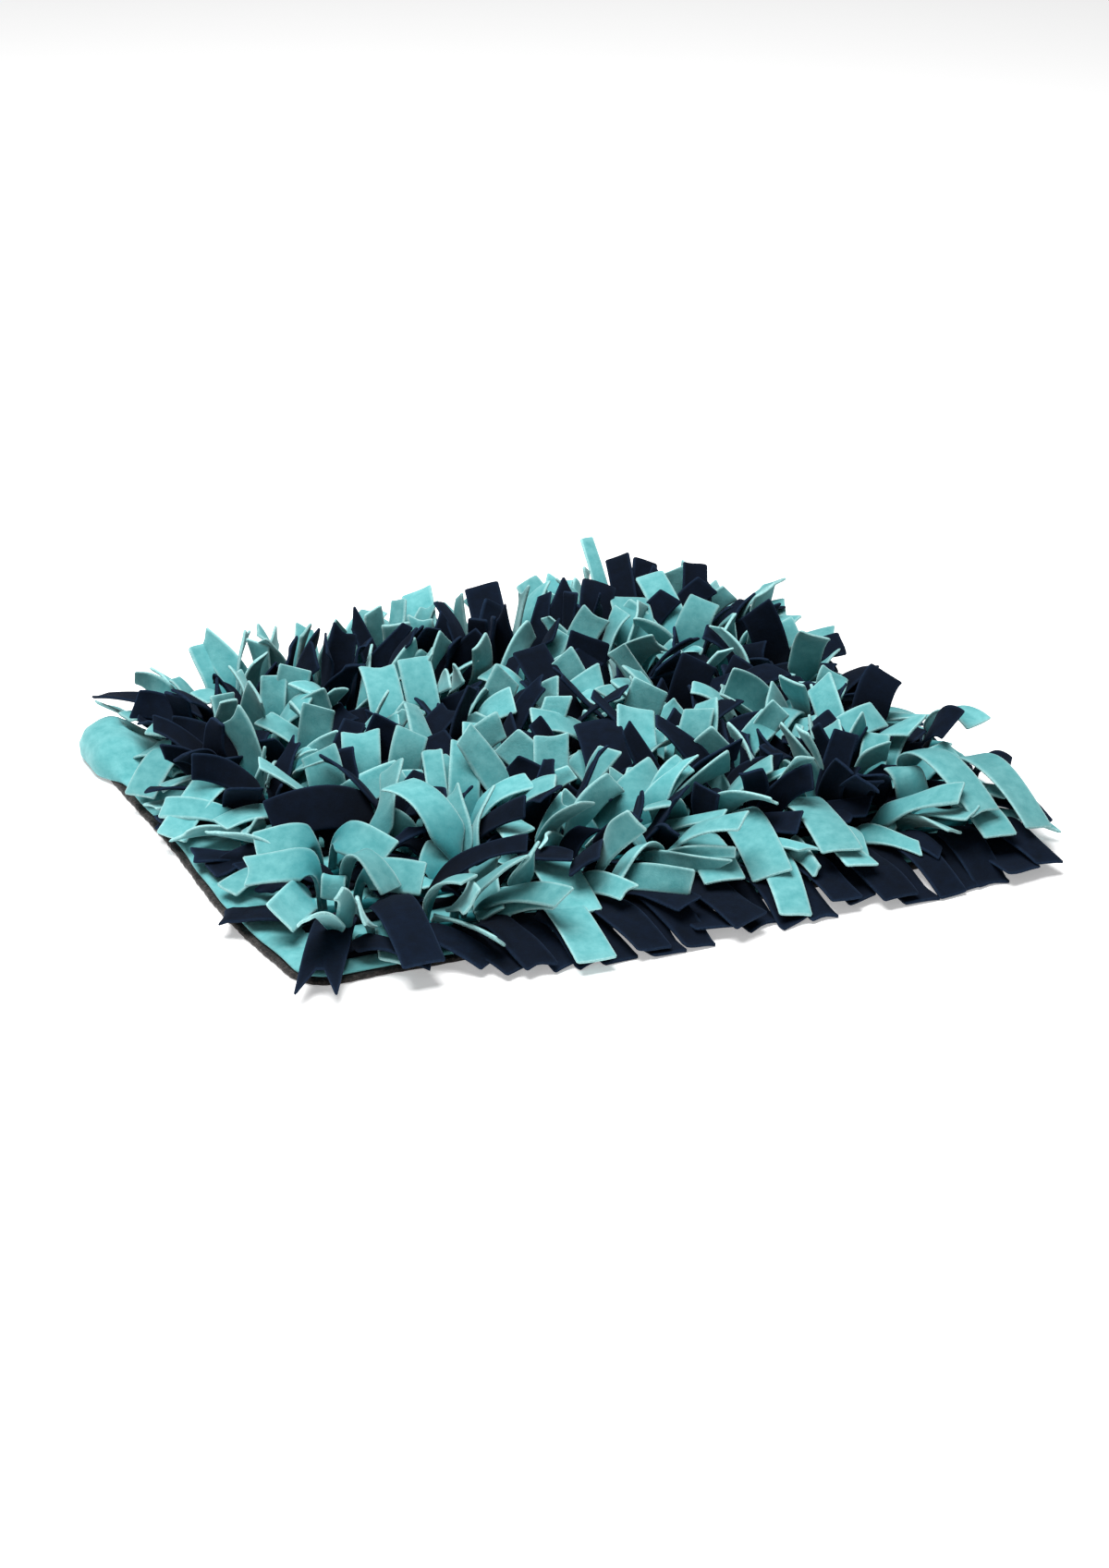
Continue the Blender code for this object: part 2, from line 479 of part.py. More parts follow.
def chance_strip(chance, root, heading, attempt):
    """A strip that heads its own way out of the row and leans with the mat's edge."""
    loose = HEADING_LOOSE + TRY_TURN * attempt
    angle = math.radians(heading + chance.uniform(-loose, loose))
    fan = Vector((math.cos(angle), math.sin(angle))) * chance.uniform(*FAN)
    fan *= 1 - BACK_CALM * at_back(root.y)
    lean = leaning(root.x, root.y)
    fan *= 1 - LEAN_CALMS * min(lean.length, 1)
    pull = lean + fan * (1 - TRY_UPRIGHT * attempt / TRIES)
    out = min(pull.length, LOWEST)
    heading = pull.normalized()
    length = chance.uniform(*STRIP_LENGTH) * (1 - TRY_SHORTER * attempt / TRIES)
    rise = math.radians(90 * (1 - out))
    reach, height = length * math.cos(rise), length * math.sin(rise)
    tip = root + Vector((heading.x * reach, heading.y * reach, height))
    bare = BARE_CORNER * smooth_step((root.y - BARE_FADE) / BARE_FADE)
    tip.x = max(tip.x, bare - MAT_LENGTH / 2 - LEFT_OVERHANG)
    past = max(tip.x - MAT_LENGTH / 2, abs(tip.y) - MAT_DEPTH / 2, 0)
    tip.z -= past * chance.uniform(*SAG)
    tip.x = min(tip.x, MAT_LENGTH / 2 + RIGHT_OVERHANG)
    tip.y = min(tip.y, MAT_DEPTH / 2 + BACK_OVERHANG)
    tip.y = max(tip.y, -MAT_DEPTH / 2 - FRONT_OVERHANG * skirt_growth(tip.x))
    least, most = [a + (b - a) * at_back(root.y) for a, b in zip(FILL_HEIGHT, BACK_FILL)]
    tip.z = min(tip.z, pile_top(tip.x, tip.y) * chance.uniform(least, most))
    tip.z = max(tip.z, ground(tip.x, tip.y) + STRIP_THICK / 2)
    crest = root.z + max(tip.z - root.z, 0) * ARCH_START + length * chance.uniform(*ARCH_RISE)
    raised = smooth_step((tip.z - ground(tip.x, tip.y)) / TURN_HEIGHT)
    roll = math.radians(chance.gauss(0, ROLL_SPREAD)) * raised
    twist = math.radians(chance.gauss(0, TWIST_SPREAD)) * raised
    width = STRIP_WIDTH * chance.uniform(*WIDTH_SPREAD)
    pointed = chance.random() < POINTED
    return dict(
        root=root, tip=tip, crest=crest, knee=KNEE, bend=1, level=square_to(root, tip),
        roll=roll, twist=twist, width=width, skew=chance.uniform(-1, 1) * CUT_SKEW * (2 if pointed else 1),
        taper=chance.uniform(*(POINTED_END if pointed else SQUARE_END)),
    )


def placed_strip(chance, root, shape, attempt):
    """A strip from the table, moved a little on each new attempt until it is clear."""
    shift = Vector([chance.uniform(-1, 1) * MOVE_TIP * attempt for _ in range(3)])
    tip = Vector(shape["tip"]) * MM + shift
    crest = shape["crest"] * MM + chance.uniform(*MOVE_CREST) * attempt
    roll = math.radians(shape["roll"] + chance.uniform(-1, 1) * MOVE_TURN * attempt)
    twist = math.radians(shape["twist"] + chance.uniform(-1, 1) * MOVE_TURN * attempt)
    skew = chance.uniform(-1, 1) * MM
    level = square_to(root, tip)
    if shape["facing"] is not None:
        facing = math.radians(shape["facing"])
        level = Vector((math.cos(facing), math.sin(facing), 0))
    width = STRIP_WIDTH * shape["wide"]
    return dict(
        root=root, tip=tip, crest=crest, knee=shape.get("knee", KNEE),
        bend=shape.get("bend", 1), level=level, roll=roll, twist=twist, width=width,
        skew=skew, taper=1,
    )


# Rows


def root_ring(x, y):
    """A root's outline on the band's top, anticlockwise from above."""
    half_x, half_y = ROOT_LENGTH / 2, BAND_WIDTH / 2
    corners = ((-half_x, -half_y), (half_x, -half_y), (half_x, half_y), (-half_x, half_y))
    return [Vector((x + dx, y + dy, BAND_TOP)) for dx, dy in corners]


def root_places(chance, row):
    """The roots along a row's band, evenly apart but for a little play. Neighbours head apart."""
    places = []
    for number in range(row["strips"]):
        along = number / (row["strips"] - 1)
        x = (row["first"] + (row["last"] - row["first"]) * along) * MM
        x += chance.uniform(-1, 1) * ROOT_PLAY
        places.append(dict(x=x, along=along, heading=HEADING_STEP * number, table=None, rings=None))
    return places


def band_object(name, y, places, material):
    """A row: the band's four sides, with a strip standing on each root along its top."""
    front, back = y - BAND_WIDTH / 2, y + BAND_WIDTH / 2
    stops = [places[0]["x"] - ROOT_LENGTH / 2 - BAND_MARGIN]
    for place in places:
        stops += [place["x"] - ROOT_LENGTH / 2, place["x"] + ROOT_LENGTH / 2]
    stops.append(places[-1]["x"] + ROOT_LENGTH / 2 + BAND_MARGIN)
    vertices = []
    for x in stops:
        vertices += [
            (x, front, BAND_BOTTOM), (x, back, BAND_BOTTOM), (x, back, BAND_TOP), (x, front, BAND_TOP)
        ]
    faces = [(0, 2, 1), (0, 3, 2)]
    last = 4 * (len(stops) - 1)
    faces += [(last, last + 1, last + 2), (last, last + 2, last + 3)]
    for stop in range(len(stops) - 1):
        for side in range(4):
            on_top = side == 2
            if on_top and stop % 2 == 1:
                continue
            a, b = stop * 4 + side, stop * 4 + (side + 1) % 4
            faces += [(a, b, b + 4), (a, b + 4, a + 4)]
    for number, place in enumerate(places):
        at = 4 * (2 * number + 1)
        own = [at + 3, at + 7, at + 6, at + 2]
        base = len(vertices) - 4
        rings = place["rings"]
        vertices += [tuple(p) for ring in rings[1:] for p in ring]
        for face in tube_faces(len(rings)):
            faces.append(tuple(own[i] if i < 4 else base + i for i in face))
    return add_object(name, vertices, faces, material)


def facing_up(rings):
    """True where the second ring runs round the strip the same way as the root does."""
    centre, following = sum(rings[0], Vector()) / 4, sum(rings[1], Vector()) / 4
    turn = (rings[1][0] - following).cross(rings[1][1] - following)
    return turn.dot(following - centre) > 0


def place_strip(chance, pile, y, place):
    """Tries shapes for the strip on this root until one is clear of all that is placed."""
    root = Vector((place["x"], y, BAND_TOP))
    for attempt in range(TRIES):
        if place["table"]:
            shape = placed_strip(chance, root, place["table"], attempt)
        elif y < SKIRT_LINE:
            shape = skirt_strip(chance, root, place["along"], attempt)
        else:
            shape = chance_strip(chance, root, place["heading"], attempt)
        rings = strip_rings(shape)
        rings[0] = root_ring(root.x, root.y)
        if not facing_up(rings):
            rings[1:] = [list(reversed(ring)) for ring in rings[1:]]
        order = matched(rings[1], rings[0])
        turn = rings[1].index(order[0])
        rings[1:] = [ring[turn:] + ring[:turn] for ring in rings[1:]]
        if pile.clear(rings, place["key"]):
            pile.add(rings, place["key"])
            place["rings"] = rings
            return


def turn_of(y, place):
    """When a strip is placed: the skirt first, its upper layer after its lower one."""
    if y < SKIRT_LINE:
        return round(place["along"] * (SKIRT_STRIPS - 1)) % 2
    return 2 if place["table"] else 3


def place_all(chance):
    """Roots and strips of every row: the strips with a place of their own first, then from the
    rim inwards, so that the later ones lie over the earlier ones."""
    rows = [root_places(chance, row) for row in ROWS]
    for table in PLACED:
        free = [place for place in rows[table["row"]] if not place["table"]]
        nearest = min(free, key=lambda place: abs(place["x"] - table["at"] * MM))
        nearest.update(table=table, x=table["at"] * MM)
    for places in rows:
        places.sort(key=lambda place: place["x"])
        for before, place in zip(places, places[1:]):
            place["x"] = max(place["x"], before["x"] + ROOT_APART)
    waiting = []
    roots = {}
    for row, places in zip(ROWS, rows):
        y = row["y"] * MM
        for place in places:
            place["key"] = len(roots)
            roots[place["key"]] = (place["x"], y)
            waiting.append((turn_of(y, place), -leaning(place["x"], y).length, y, place))
    waiting.sort(key=lambda entry: entry[:3])
    pile = Pile(roots)
    for _, _, y, place in waiting:
        place_strip(chance, pile, y, place)
    return [[place for place in places if place["rings"]] for places in rows]


def build():
    for thing in list(bpy.data.objects):
        bpy.data.objects.remove(thing, do_unlink=True)
    black = cloth_material("black non-slip fabric", (0.012, 0.012, 0.012), 0.9)
    fleeces = {
        "mint": cloth_material("mint fleece", (0.117, 0.352, 0.371), 0.95),
        "navy": cloth_material("navy fleece", (0.0105, 0.0127, 0.031), 0.95),
    }
    add_sheet("backing", mat_outline(0, 0), 0, BACKING_TOP, black)
    add_sheet("face_cloth", mat_outline(FACE_INSET, 1), FACE_BOTTOM, FACE_TOP, fleeces["mint"])
    rows = place_all(random.Random(SEED))
    numbers = dict(mint=0, navy=0)
    for row, places in zip(ROWS, rows):
        cloth = row["cloth"]
        numbers[cloth] += 1
        band_object(f"{cloth}_row_{numbers[cloth]}", row["y"] * MM, places, fleeces[cloth])


build()
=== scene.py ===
"""Looks of the snuffle mat: a black non-slip backing, a mint fleece face and rows of strips."""

import math
import random

import bpy
import numpy as np
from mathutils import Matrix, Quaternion, Vector
from mathutils.bvhtree import BVHTree


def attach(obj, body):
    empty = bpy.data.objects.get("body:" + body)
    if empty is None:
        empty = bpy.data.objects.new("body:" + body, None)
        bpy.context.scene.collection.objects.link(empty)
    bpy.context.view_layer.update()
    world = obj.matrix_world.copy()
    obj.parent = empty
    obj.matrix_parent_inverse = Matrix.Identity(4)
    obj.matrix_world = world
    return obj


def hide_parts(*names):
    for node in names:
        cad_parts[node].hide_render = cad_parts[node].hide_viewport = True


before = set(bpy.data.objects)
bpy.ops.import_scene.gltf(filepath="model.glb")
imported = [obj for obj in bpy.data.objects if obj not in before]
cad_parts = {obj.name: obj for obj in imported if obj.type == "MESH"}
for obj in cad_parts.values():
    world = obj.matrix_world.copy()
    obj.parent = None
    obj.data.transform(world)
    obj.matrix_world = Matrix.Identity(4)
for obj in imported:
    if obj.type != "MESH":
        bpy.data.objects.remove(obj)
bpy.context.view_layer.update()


# ------------------------------
# Backing: black non-slip fabric, 3 mm thick, cut to the mat's outline. It lies on the floor and
# its cut edge shows as a thin dark line round the mat, matted and a little frayed.

MM = 0.001
MAT_LENGTH, MAT_DEPTH = 450 * MM, 360 * MM  # along X and Y
CORNER_RADIUS = 22 * MM
LEFT_BULGE = 7 * MM  # how far the left edge bows out
BULGE_MIDDLE, BULGE_SPREAD = -70 * MM, 95 * MM  # where along that edge, and how widely
BULGE_FROM, BULGE_GROWTH = 0.8, 5  # share of the way out where it starts, and its growth
EDGE_WAVE = 1.2 * MM  # height of the small waves along every edge
WAVE_ALONG, WAVE_ACROSS = 23 * MM, 31 * MM  # along X and Y, for each radian
BACKING_THICK = 3.0 * MM
GAP = 0.3 * MM  # between one piece and the next
WELDED = 0.02 * MM  # points of a sheet this near are made one


def linear(hex_colour):
    """An sRGB hex colour as linear RGBA."""
    parts = [int(hex_colour[i : i + 2], 16) / 255 for i in (0, 2, 4)]
    return (*[p / 12.92 if p <= 0.04045 else ((p + 0.055) / 1.055) ** 2.4 for p in parts], 1)


def add_node(tree, kind, settings=None, links=None):
    """One node: settings by property or input name, links from an input name to an output."""
    made = tree.nodes.new(kind)
    for name, value in (settings or {}).items():
        if isinstance(name, str) and hasattr(made, name):
            setattr(made, name, value)
        else:
            made.inputs[name].default_value = value
    for name, output in (links or {}).items():
        tree.links.new(output, made.inputs[name])
    return made


def add_pattern(tree, kind, settings):
    """A texture node in the object's own metres."""
    where = add_node(tree, "ShaderNodeTexCoord")
    return add_node(tree, kind, settings, {"Vector": where.outputs["Object"]})


def new_material(name, settings):
    """A material with its Principled shader set, as (material, tree, shader)."""
    material = bpy.data.materials.new(name)
    material.use_nodes = True
    tree = material.node_tree
    shader = tree.nodes["Principled BSDF"]
    for key, value in settings.items():
        shader.inputs[key].default_value = value
    return material, tree, shader


def smooth_step(share):
    """A soft rise from 0 to 1 as the share goes from 0 to 1, and level before and after."""
    share = min(max(share, 0), 1)
    return share * share * (3 - 2 * share)


def edge_bow(x, y):
    """How far the mat's edge stands out from a plain rounded rectangle at a point near it."""
    from_middle = (y - BULGE_MIDDLE) / BULGE_SPREAD
    bulge = math.exp(-(from_middle**2)) * LEFT_BULGE if x < 0 else 0
    wave = EDGE_WAVE * math.sin(x / WAVE_ALONG + 1) * math.cos(y / WAVE_ACROSS)
    return bulge * smooth_step((-x / (MAT_LENGTH / 2) - BULGE_FROM) * BULGE_GROWTH) + wave


def mat_rim(corner_steps, edge_steps):
    """Points round the mat's rim, anticlockwise from above, each with its outward direction."""
    half_x, half_y = MAT_LENGTH / 2 - CORNER_RADIUS, MAT_DEPTH / 2 - CORNER_RADIUS
    corners = ((1, 1, 0), (-1, 1, 90), (-1, -1, 180), (1, -1, 270))
    rim = []
    for index, (sx, sy, start) in enumerate(corners):
        centre = Vector((sx * half_x, sy * half_y))
        next_sx, next_sy, _ = corners[(index + 1) % 4]
        following = Vector((next_sx * half_x, next_sy * half_y))
        places = [(centre, start + 90 * step / corner_steps) for step in range(corner_steps + 1)]
        for step in range(1, edge_steps):
            places.append((centre.lerp(following, step / edge_steps), start + 90))
        for place, degrees in places:
            outward = Vector((math.cos(math.radians(degrees)), math.sin(math.radians(degrees))))
            point = place + outward * CORNER_RADIUS
            rim.append((point + outward * edge_bow(point.x, point.y), outward))
    return rim


def quads(size, rings):
    """The corners of each face round a tube of rings: two in one ring and two in the next."""
    for ring in range(rings - 1):
        for side in range(size):
            a, b = ring * size + side, ring * size + (side + 1) % size
            yield a, b, b + size, a + size


def add_object(name, vertices, faces):
    """A smooth mesh as an object of the scene."""
    mesh = bpy.data.meshes.new(name)
    mesh.from_pydata(vertices, [], faces)
    mesh.polygons.foreach_set("use_smooth", [True] * len(mesh.polygons))
    thing = bpy.data.objects.new(name, mesh)
    bpy.context.scene.collection.objects.link(thing)
    return thing


def ringed_sheet(name, rim, section, inner_rings, height):
    """A closed sheet: section(place) gives its edge as (distance in from the rim, z), from the
    top round to the underside, and height(x, y, depth) what is added to z."""
    count = len(rim)
    spine = (MAT_LENGTH - MAT_DEPTH) / 2
    edge = [section(place) for place in range(count)]
    steps = len(edge[0])
    rings = []
    for step in range(steps):
        ring = []
        for (point, outward), profile in zip(rim, edge):
            inset, z = profile[step]
            spot = point - outward * inset
            ring.append((spot.x, spot.y, z + height(spot.x, spot.y, inset)))
        rings.append(ring)
    fills = []
    for end in (0, -1):
        fill = []
        for number in range(1, inner_rings + 1):
            share = number / inner_rings
            ring = []
            for place, (x, y, _) in enumerate(rings[end]):
                middle = min(max(x, -spine), spine)
                px, py = x + (middle - x) * share, y * (1 - share)
                depth = min(MAT_LENGTH / 2 - abs(px), MAT_DEPTH / 2 - abs(py))
                ring.append((px, py, edge[place][end][1] + height(px, py, depth)))
            fill.append(ring)
        fills.append(fill)
    stack = list(reversed(fills[0])) + rings + fills[1]
    vertices = [p for ring in stack for p in ring]
    faces = [(a, d, c, b) for a, b, c, d in quads(count, len(stack))]
    thing = add_object(name, vertices, faces)
    weld = thing.modifiers.new("weld", "WELD")
    weld.merge_threshold = WELDED
    graph = bpy.context.evaluated_depsgraph_get()
    made = bpy.data.meshes.new_from_object(thing.evaluated_get(graph))
    thing.modifiers.clear()
    thing.data = made
    return thing


def backing_edge(place):
    """The backing's cut edge in millimetres: square with worn corners, its outermost 1 mm
    frayed unevenly."""
    profile = (
        (3, 3.0), (1.2, 3.0), (0.4, 2.8), (0, 2.3), (-0.1, 1.5),
        (0, 0.7), (0.4, 0.2), (1.2, 0), (3, 0),
    )
    frayed = 1
    fray = 0.25 * math.sin(place * 2.3) + 0.2 * math.sin(place * 0.71 + 2)
    return [((inset - (fray if inset < frayed else 0)) * MM, z * MM) for inset, z in profile]


rim = mat_rim(corner_steps=14, edge_steps=110)
backing = ringed_sheet(
    "non_slip_backing", rim, backing_edge, inner_rings=30, height=lambda x, y, depth: 0
)

# Non-slip fabric: dull and nearly black, its threads just showing as paler specks.
THREAD_SPACING, SPECK_SIZE = 1.1 * MM, 2.2 * MM
rubbed_black, tree, shader = new_material(
    "black non-slip fabric", {"Roughness": 0.82, "Specular IOR Level": 0.3, "Sheen Weight": 0.12}
)
threads = add_pattern(
    tree, "ShaderNodeTexVoronoi", {"Scale": 1 / THREAD_SPACING, "Randomness": 0.75}
)
specks = add_pattern(
    tree, "ShaderNodeTexNoise", {"Scale": 1 / SPECK_SIZE, "Detail": 4, "Roughness": 0.7}
)
tone = add_node(tree, "ShaderNodeValToRGB", {}, {"Fac": specks.outputs["Fac"]})
for stop, position, colour in zip(tone.color_ramp.elements, (0.45, 0.78), ("0b0a0a", "4a4340")):
    stop.position, stop.color = position, linear(colour)
tree.links.new(tone.outputs["Color"], shader.inputs["Base Color"])
relief = add_node(
    tree, "ShaderNodeBump", {"Strength": 0.8, "Distance": 0.5 * MM},
    {"Height": threads.outputs["Distance"]},
)
tree.links.new(relief.outputs["Normal"], shader.inputs["Normal"])
backing.data.materials.append(rubbed_black)

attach(backing, "root")
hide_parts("backing")


# ------------------------------
# Face: one sheet of mint fleece laid on the backing and sewn down through the rows. It lies in
# soft swells between them, and at the back left corner it is turned over the backing's edge.

FACE_BOTTOM = BACKING_THICK + GAP
FACE_THICK = 2.2 * MM
FACE_TOP = FACE_BOTTOM + FACE_THICK
TURN_REACH, TURN_FADE = 48 * MM, 28 * MM  # of the turn, round the left corner
TURN_FORWARD, TURN_SQUEEZE = 16 * MM, 0.85  # its middle lies this far in front of it
SWELL_HEIGHT, SWELL_RISE = 2.2 * MM, 9 * MM  # of the swells between the rows
SWELL_ALONG, SWELL_ACROSS = 17 * MM, 13 * MM  # how they vary, for each radian
MARGIN_FROM, MARGIN_RISE = 190 * MM, 14 * MM  # where they run on beyond the rows' ends
PRESSED_RIM = 12 * MM  # nearer to the rim the face lies down flat
BAND_WIDTH = 8 * MM  # of the bands that the rows of strips are sewn to

# Rows of strips from the front to the back, navy and mint by turns, two on a line: place along
# Y, number of strips, and where the first and the last are rooted.
ROWS = [
    dict(cloth=cloth, y=y, strips=strips, first=first, last=last)
    for cloth, (y, strips, first, last) in zip(("navy", "mint") * 7, (
        (-160, 26, -192, 203), (-146, 24, -192, 200),
        (-122, 20, -190, 196), (-106, 22, -190, 196),
        (-80, 20, -190, 198), (-58, 22, -192, 200),
        (-32, 20, -190, 192), (-6, 22, -188, 200),
        (22, 20, -184, 196), (48, 22, -186, 200),
        (74, 20, -180, 190), (102, 22, -180, 198),
        (130, 19, -174, 196), (156, 21, -176, 198),
    ))
]


def turned_over(place):
    """How far the face is turned over the backing's edge here: fully at the left corner."""
    point, _ = rim[place]
    forward = (point.y - MAT_DEPTH / 2 + TURN_FORWARD) * TURN_SQUEEZE
    return smooth_step((TURN_REACH - math.hypot(point.x + MAT_LENGTH / 2, forward)) / TURN_FADE)


def face_edge(place):
    """The face's edge in millimetres, from its top round to its underside: as cut, and as
    turned over, mixed by how far it is turned here. Its outermost 12 mm waver."""
    cut = (
        (44, 5.5), (30, 5.5), (18, 5.5), (10, 5.5), (6, 5.5), (4.2, 5.4), (3.4, 5.1), (3.0, 4.6),
        (3.0, 4.0), (3.3, 3.6), (4.2, 3.35), (6, 3.3), (10, 3.3), (18, 3.3), (30, 3.3), (44, 3.3),
    )
    turned = (
        (44, 5.5), (31, 12), (19, 18.5), (9, 20.6), (1, 19.4), (-4.6, 15), (-7.2, 9), (-6.6, 3.4),
        (-4.6, 0.5), (-3.8, 3.6), (-4.4, 9), (-2, 14), (4, 17), (11, 17.6), (22, 14), (44, 3.3),
    )
    share, wavering = turned_over(place), 12
    waver = 0.35 * math.sin(place * 0.37) + 0.25 * math.sin(place * 0.11 + 1)
    return [
        ((a[0] + (b[0] - a[0]) * share + (waver if a[0] < wavering else 0)) * MM,
         (a[1] + (b[1] - a[1]) * share) * MM)
        for a, b in zip(cut, turned)
    ]


def face_swell(x, y, depth):
    """Soft swells of the face between the rows, and over its margin outside them."""
    nearest = min(abs(y - row["y"] * MM) for row in ROWS)
    between = smooth_step((nearest - BAND_WIDTH * 0.6) / SWELL_RISE)
    margin = smooth_step((abs(x) - MARGIN_FROM) / MARGIN_RISE)
    uneven = 0.5 + 0.3 * math.sin(x / SWELL_ALONG) * math.cos(y / SWELL_ACROSS + 1)
    return max(between, margin) * uneven * SWELL_HEIGHT * smooth_step(depth / PRESSED_RIM)


face = ringed_sheet("fleece_face", rim, face_edge, inner_rings=34, height=face_swell)
CLOUD_SIZE, NAP_SIZE = 7 * MM, 1.3 * MM  # coarser than real, so that the nap shows


def fleece(name, deep, full, pale, rooted, sheen, nap_colour):
    """Brushed polyester fleece: matt, its short nap clouding the colour, with a painted highlight
    along its cut edges and painted shade near a strip's root, and a little lighter or darker
    from strip to strip."""
    material, tree, shader = new_material(name, {
        "Roughness": 0.95, "Specular IOR Level": 0.12,
        "Sheen Roughness": 0.45, "Sheen Weight": sheen, "Sheen Tint": linear(nap_colour),
    })
    clouds = add_pattern(
        tree, "ShaderNodeTexNoise", {"Scale": 1 / CLOUD_SIZE, "Detail": 5, "Roughness": 0.62}
    )
    nap = add_pattern(
        tree, "ShaderNodeTexNoise", {"Scale": 1 / NAP_SIZE, "Detail": 3, "Roughness": 0.6}
    )
    cloudy = add_node(
        tree, "ShaderNodeMapRange", {"From Min": 0.3, "From Max": 0.72},
        {"Value": clouds.outputs["Fac"]},
    )
    body = add_node(
        tree, "ShaderNodeMix", {"data_type": "RGBA", 6: linear(deep), 7: linear(full)},
        {"Factor": cloudy.outputs["Result"]},
    )
    # Painted highlight: the colour turns paler along the cut edges, unevenly with the nap.
    cut = add_node(tree, "ShaderNodeAttribute", {"attribute_name": "cut_edge_highlight"})
    uneven_highlight = add_node(
        tree, "ShaderNodeMath", {"operation": "MULTIPLY"},
        {0: cut.outputs["Fac"], 1: nap.outputs["Fac"]},
    )
    edge_highlighted = add_node(
        tree, "ShaderNodeMix", {"data_type": "RGBA", 7: linear(pale)},
        {"Factor": uneven_highlight.outputs["Value"], 6: body.outputs[2]},
    )
    # Painted shade: the colour turns deeper towards a strip's root, where the pile is in shade.
    down = add_node(tree, "ShaderNodeAttribute", {"attribute_name": "painted_root_shade"})
    root_shaded = add_node(
        tree, "ShaderNodeMix", {"data_type": "RGBA", 7: linear(rooted)},
        {"Factor": down.outputs["Fac"], 6: edge_highlighted.outputs[2]},
    )
    piece = add_node(tree, "ShaderNodeAttribute", {"attribute_name": "piece_tone"})
    toned = add_node(
        tree, "ShaderNodeHueSaturation", {},
        {"Color": root_shaded.outputs[2], "Value": piece.outputs["Fac"]},
    )
    tree.links.new(toned.outputs["Color"], shader.inputs["Base Color"])
    height = add_node(
        tree, "ShaderNodeMath", {"operation": "MULTIPLY_ADD", 1: 0.6},
        {0: nap.outputs["Fac"], 2: clouds.outputs["Fac"]},
    )
    relief = add_node(
        tree, "ShaderNodeBump", {"Strength": 0.45, "Distance": 0.6 * MM},
        {"Height": height.outputs["Value"]},
    )
    tree.links.new(relief.outputs["Normal"], shader.inputs["Normal"])
    return material


def set_point_values(mesh, name, values):
    """One number for each point of the mesh, which the cloth's material reads by its name."""
    attribute = mesh.attributes.get(name) or mesh.attributes.new(name, "FLOAT", "POINT")
    attribute.data.foreach_set("value", np.asarray(values, np.float32))


# Colours: deep and full clouded by the nap, the painted highlight on cut edges, the painted shade
# at the root, then sheen and its tint.
mint_fleece = fleece("mint fleece", "4f989c", "6eb1b4", "bfe8e6", "14727a", 0.5, "d4f2f1")
navy_fleece = fleece("navy fleece", "030b17", "061223", "1f324a", "01040b", 0.06, "7c9cd0")
# The face has no painted highlight and no painted shade, and its own full tone.
for name, value in (("piece_tone", 1.0), ("cut_edge_highlight", 0.0), ("painted_root_shade", 0.0)):
    set_point_values(face.data, name, [value] * len(face.data.vertices))
face.data.materials.append(mint_fleece)

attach(face, "root")
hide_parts("face_cloth")


# ------------------------------
# Strips: fleece cut 20 mm wide with a blade, pinched in threes and fours and sewn to a narrow
# band, row by row. They fan out of each bunch and lean out over the mat's edges.

# A strip, and the narrow band that holds a row of them
STRIP_WIDTH = 19 * MM
STRIP_THICK = 2.0 * MM
STRIP_LENGTH = (54 * MM, 69 * MM)
BAND_THICK = 3 * MM
BAND_BOTTOM = FACE_TOP + GAP
BAND_TOP = BAND_BOTTOM + BAND_THICK
ROOT_LENGTH = 4.5 * MM  # of a pinched root, along the band
ROOT_PLAY, ROOT_APART = 3 * MM, 6 * MM  # most off its even place, and least from the next
HEADING_STEP = 137.5  # degrees from one strip's heading to the next one's
STUB_HEIGHT = 5 * MM  # kept free above a root until its strip is placed

# Its plain form, tested for room. It arches over at its knee, as a share of its reach
KNEE = 0.2
STATIONS = (0.0, 0.17, 0.38, 0.68, 1.0)
WIDTH_SHARE = (0.3, 0.34, 1.0, 1.0, 1.0)
THICK_SHARE = (2.0, 1.6, 1.0, 1.0, 1.0)
WIDTH_SPREAD = (0.72, 1.12)
POINTED = 0.25  # share of the strips that are cut to a point
POINTED_END, SQUARE_END = (0.35, 0.6), (0.85, 1)  # share of the width left at the tip
TAPER_FROM = 0.3
CUT_SKEW = 3 * MM  # most that one corner of a tip is longer than the other
ARCH_START, ARCH_RISE = 0.45, (0.08, 0.26)  # shares of its tip's height and of its length
ROLL_SPREAD, TWIST_SPREAD = 34, 40  # degrees that its face turns, and less below this height
TURN_HEIGHT = 25 * MM

# How the pile leans out over its edges, how high it stands and how far it reaches
LEAN_FRONT, LEAN_BACK, LEAN_RIGHT, LEAN_LEFT = 1.35, 0.35, 1.15, 0.90
LEAN_REACH = 85 * MM
SWEEP = 0.45  # to the right, along the front
SAG = (0.66, 1.32)  # how far a tip beyond the mat's edge sinks, for each mm past it
FAN = (0.24, 0.78)  # sideways share of a strip that is clear of every edge
LEAN_CALMS, BACK_CALM = 0.35, 0.4  # share of the fan lost to a full lean, and at the back
HEADING_LOOSE = 50  # degrees off its own way, to either side
LOWEST = 1.15  # most that lean and fan come to: past 1 the tip hangs
PILE_TOP = 70 * MM
RIGHT_SHARE, RIGHT_FADE, RIGHT_BEYOND = 0.44, 125 * MM, 20 * MM  # it is lower to the right
CORNER_SHARE, CORNER_FADE = 0.5, 160 * MM  # and at the back left corner
HOLLOWS = (
    dict(x=-180, y=-95, radius=85, share=0.2),
    dict(x=-120, y=-120, radius=55, share=0.3),
    dict(x=-150, y=-55, radius=60, share=0.4),
)
FILL_HEIGHT, BACK_FILL = (0.5, 0.85), (0.78, 1.02)  # shares of that height, and at the back
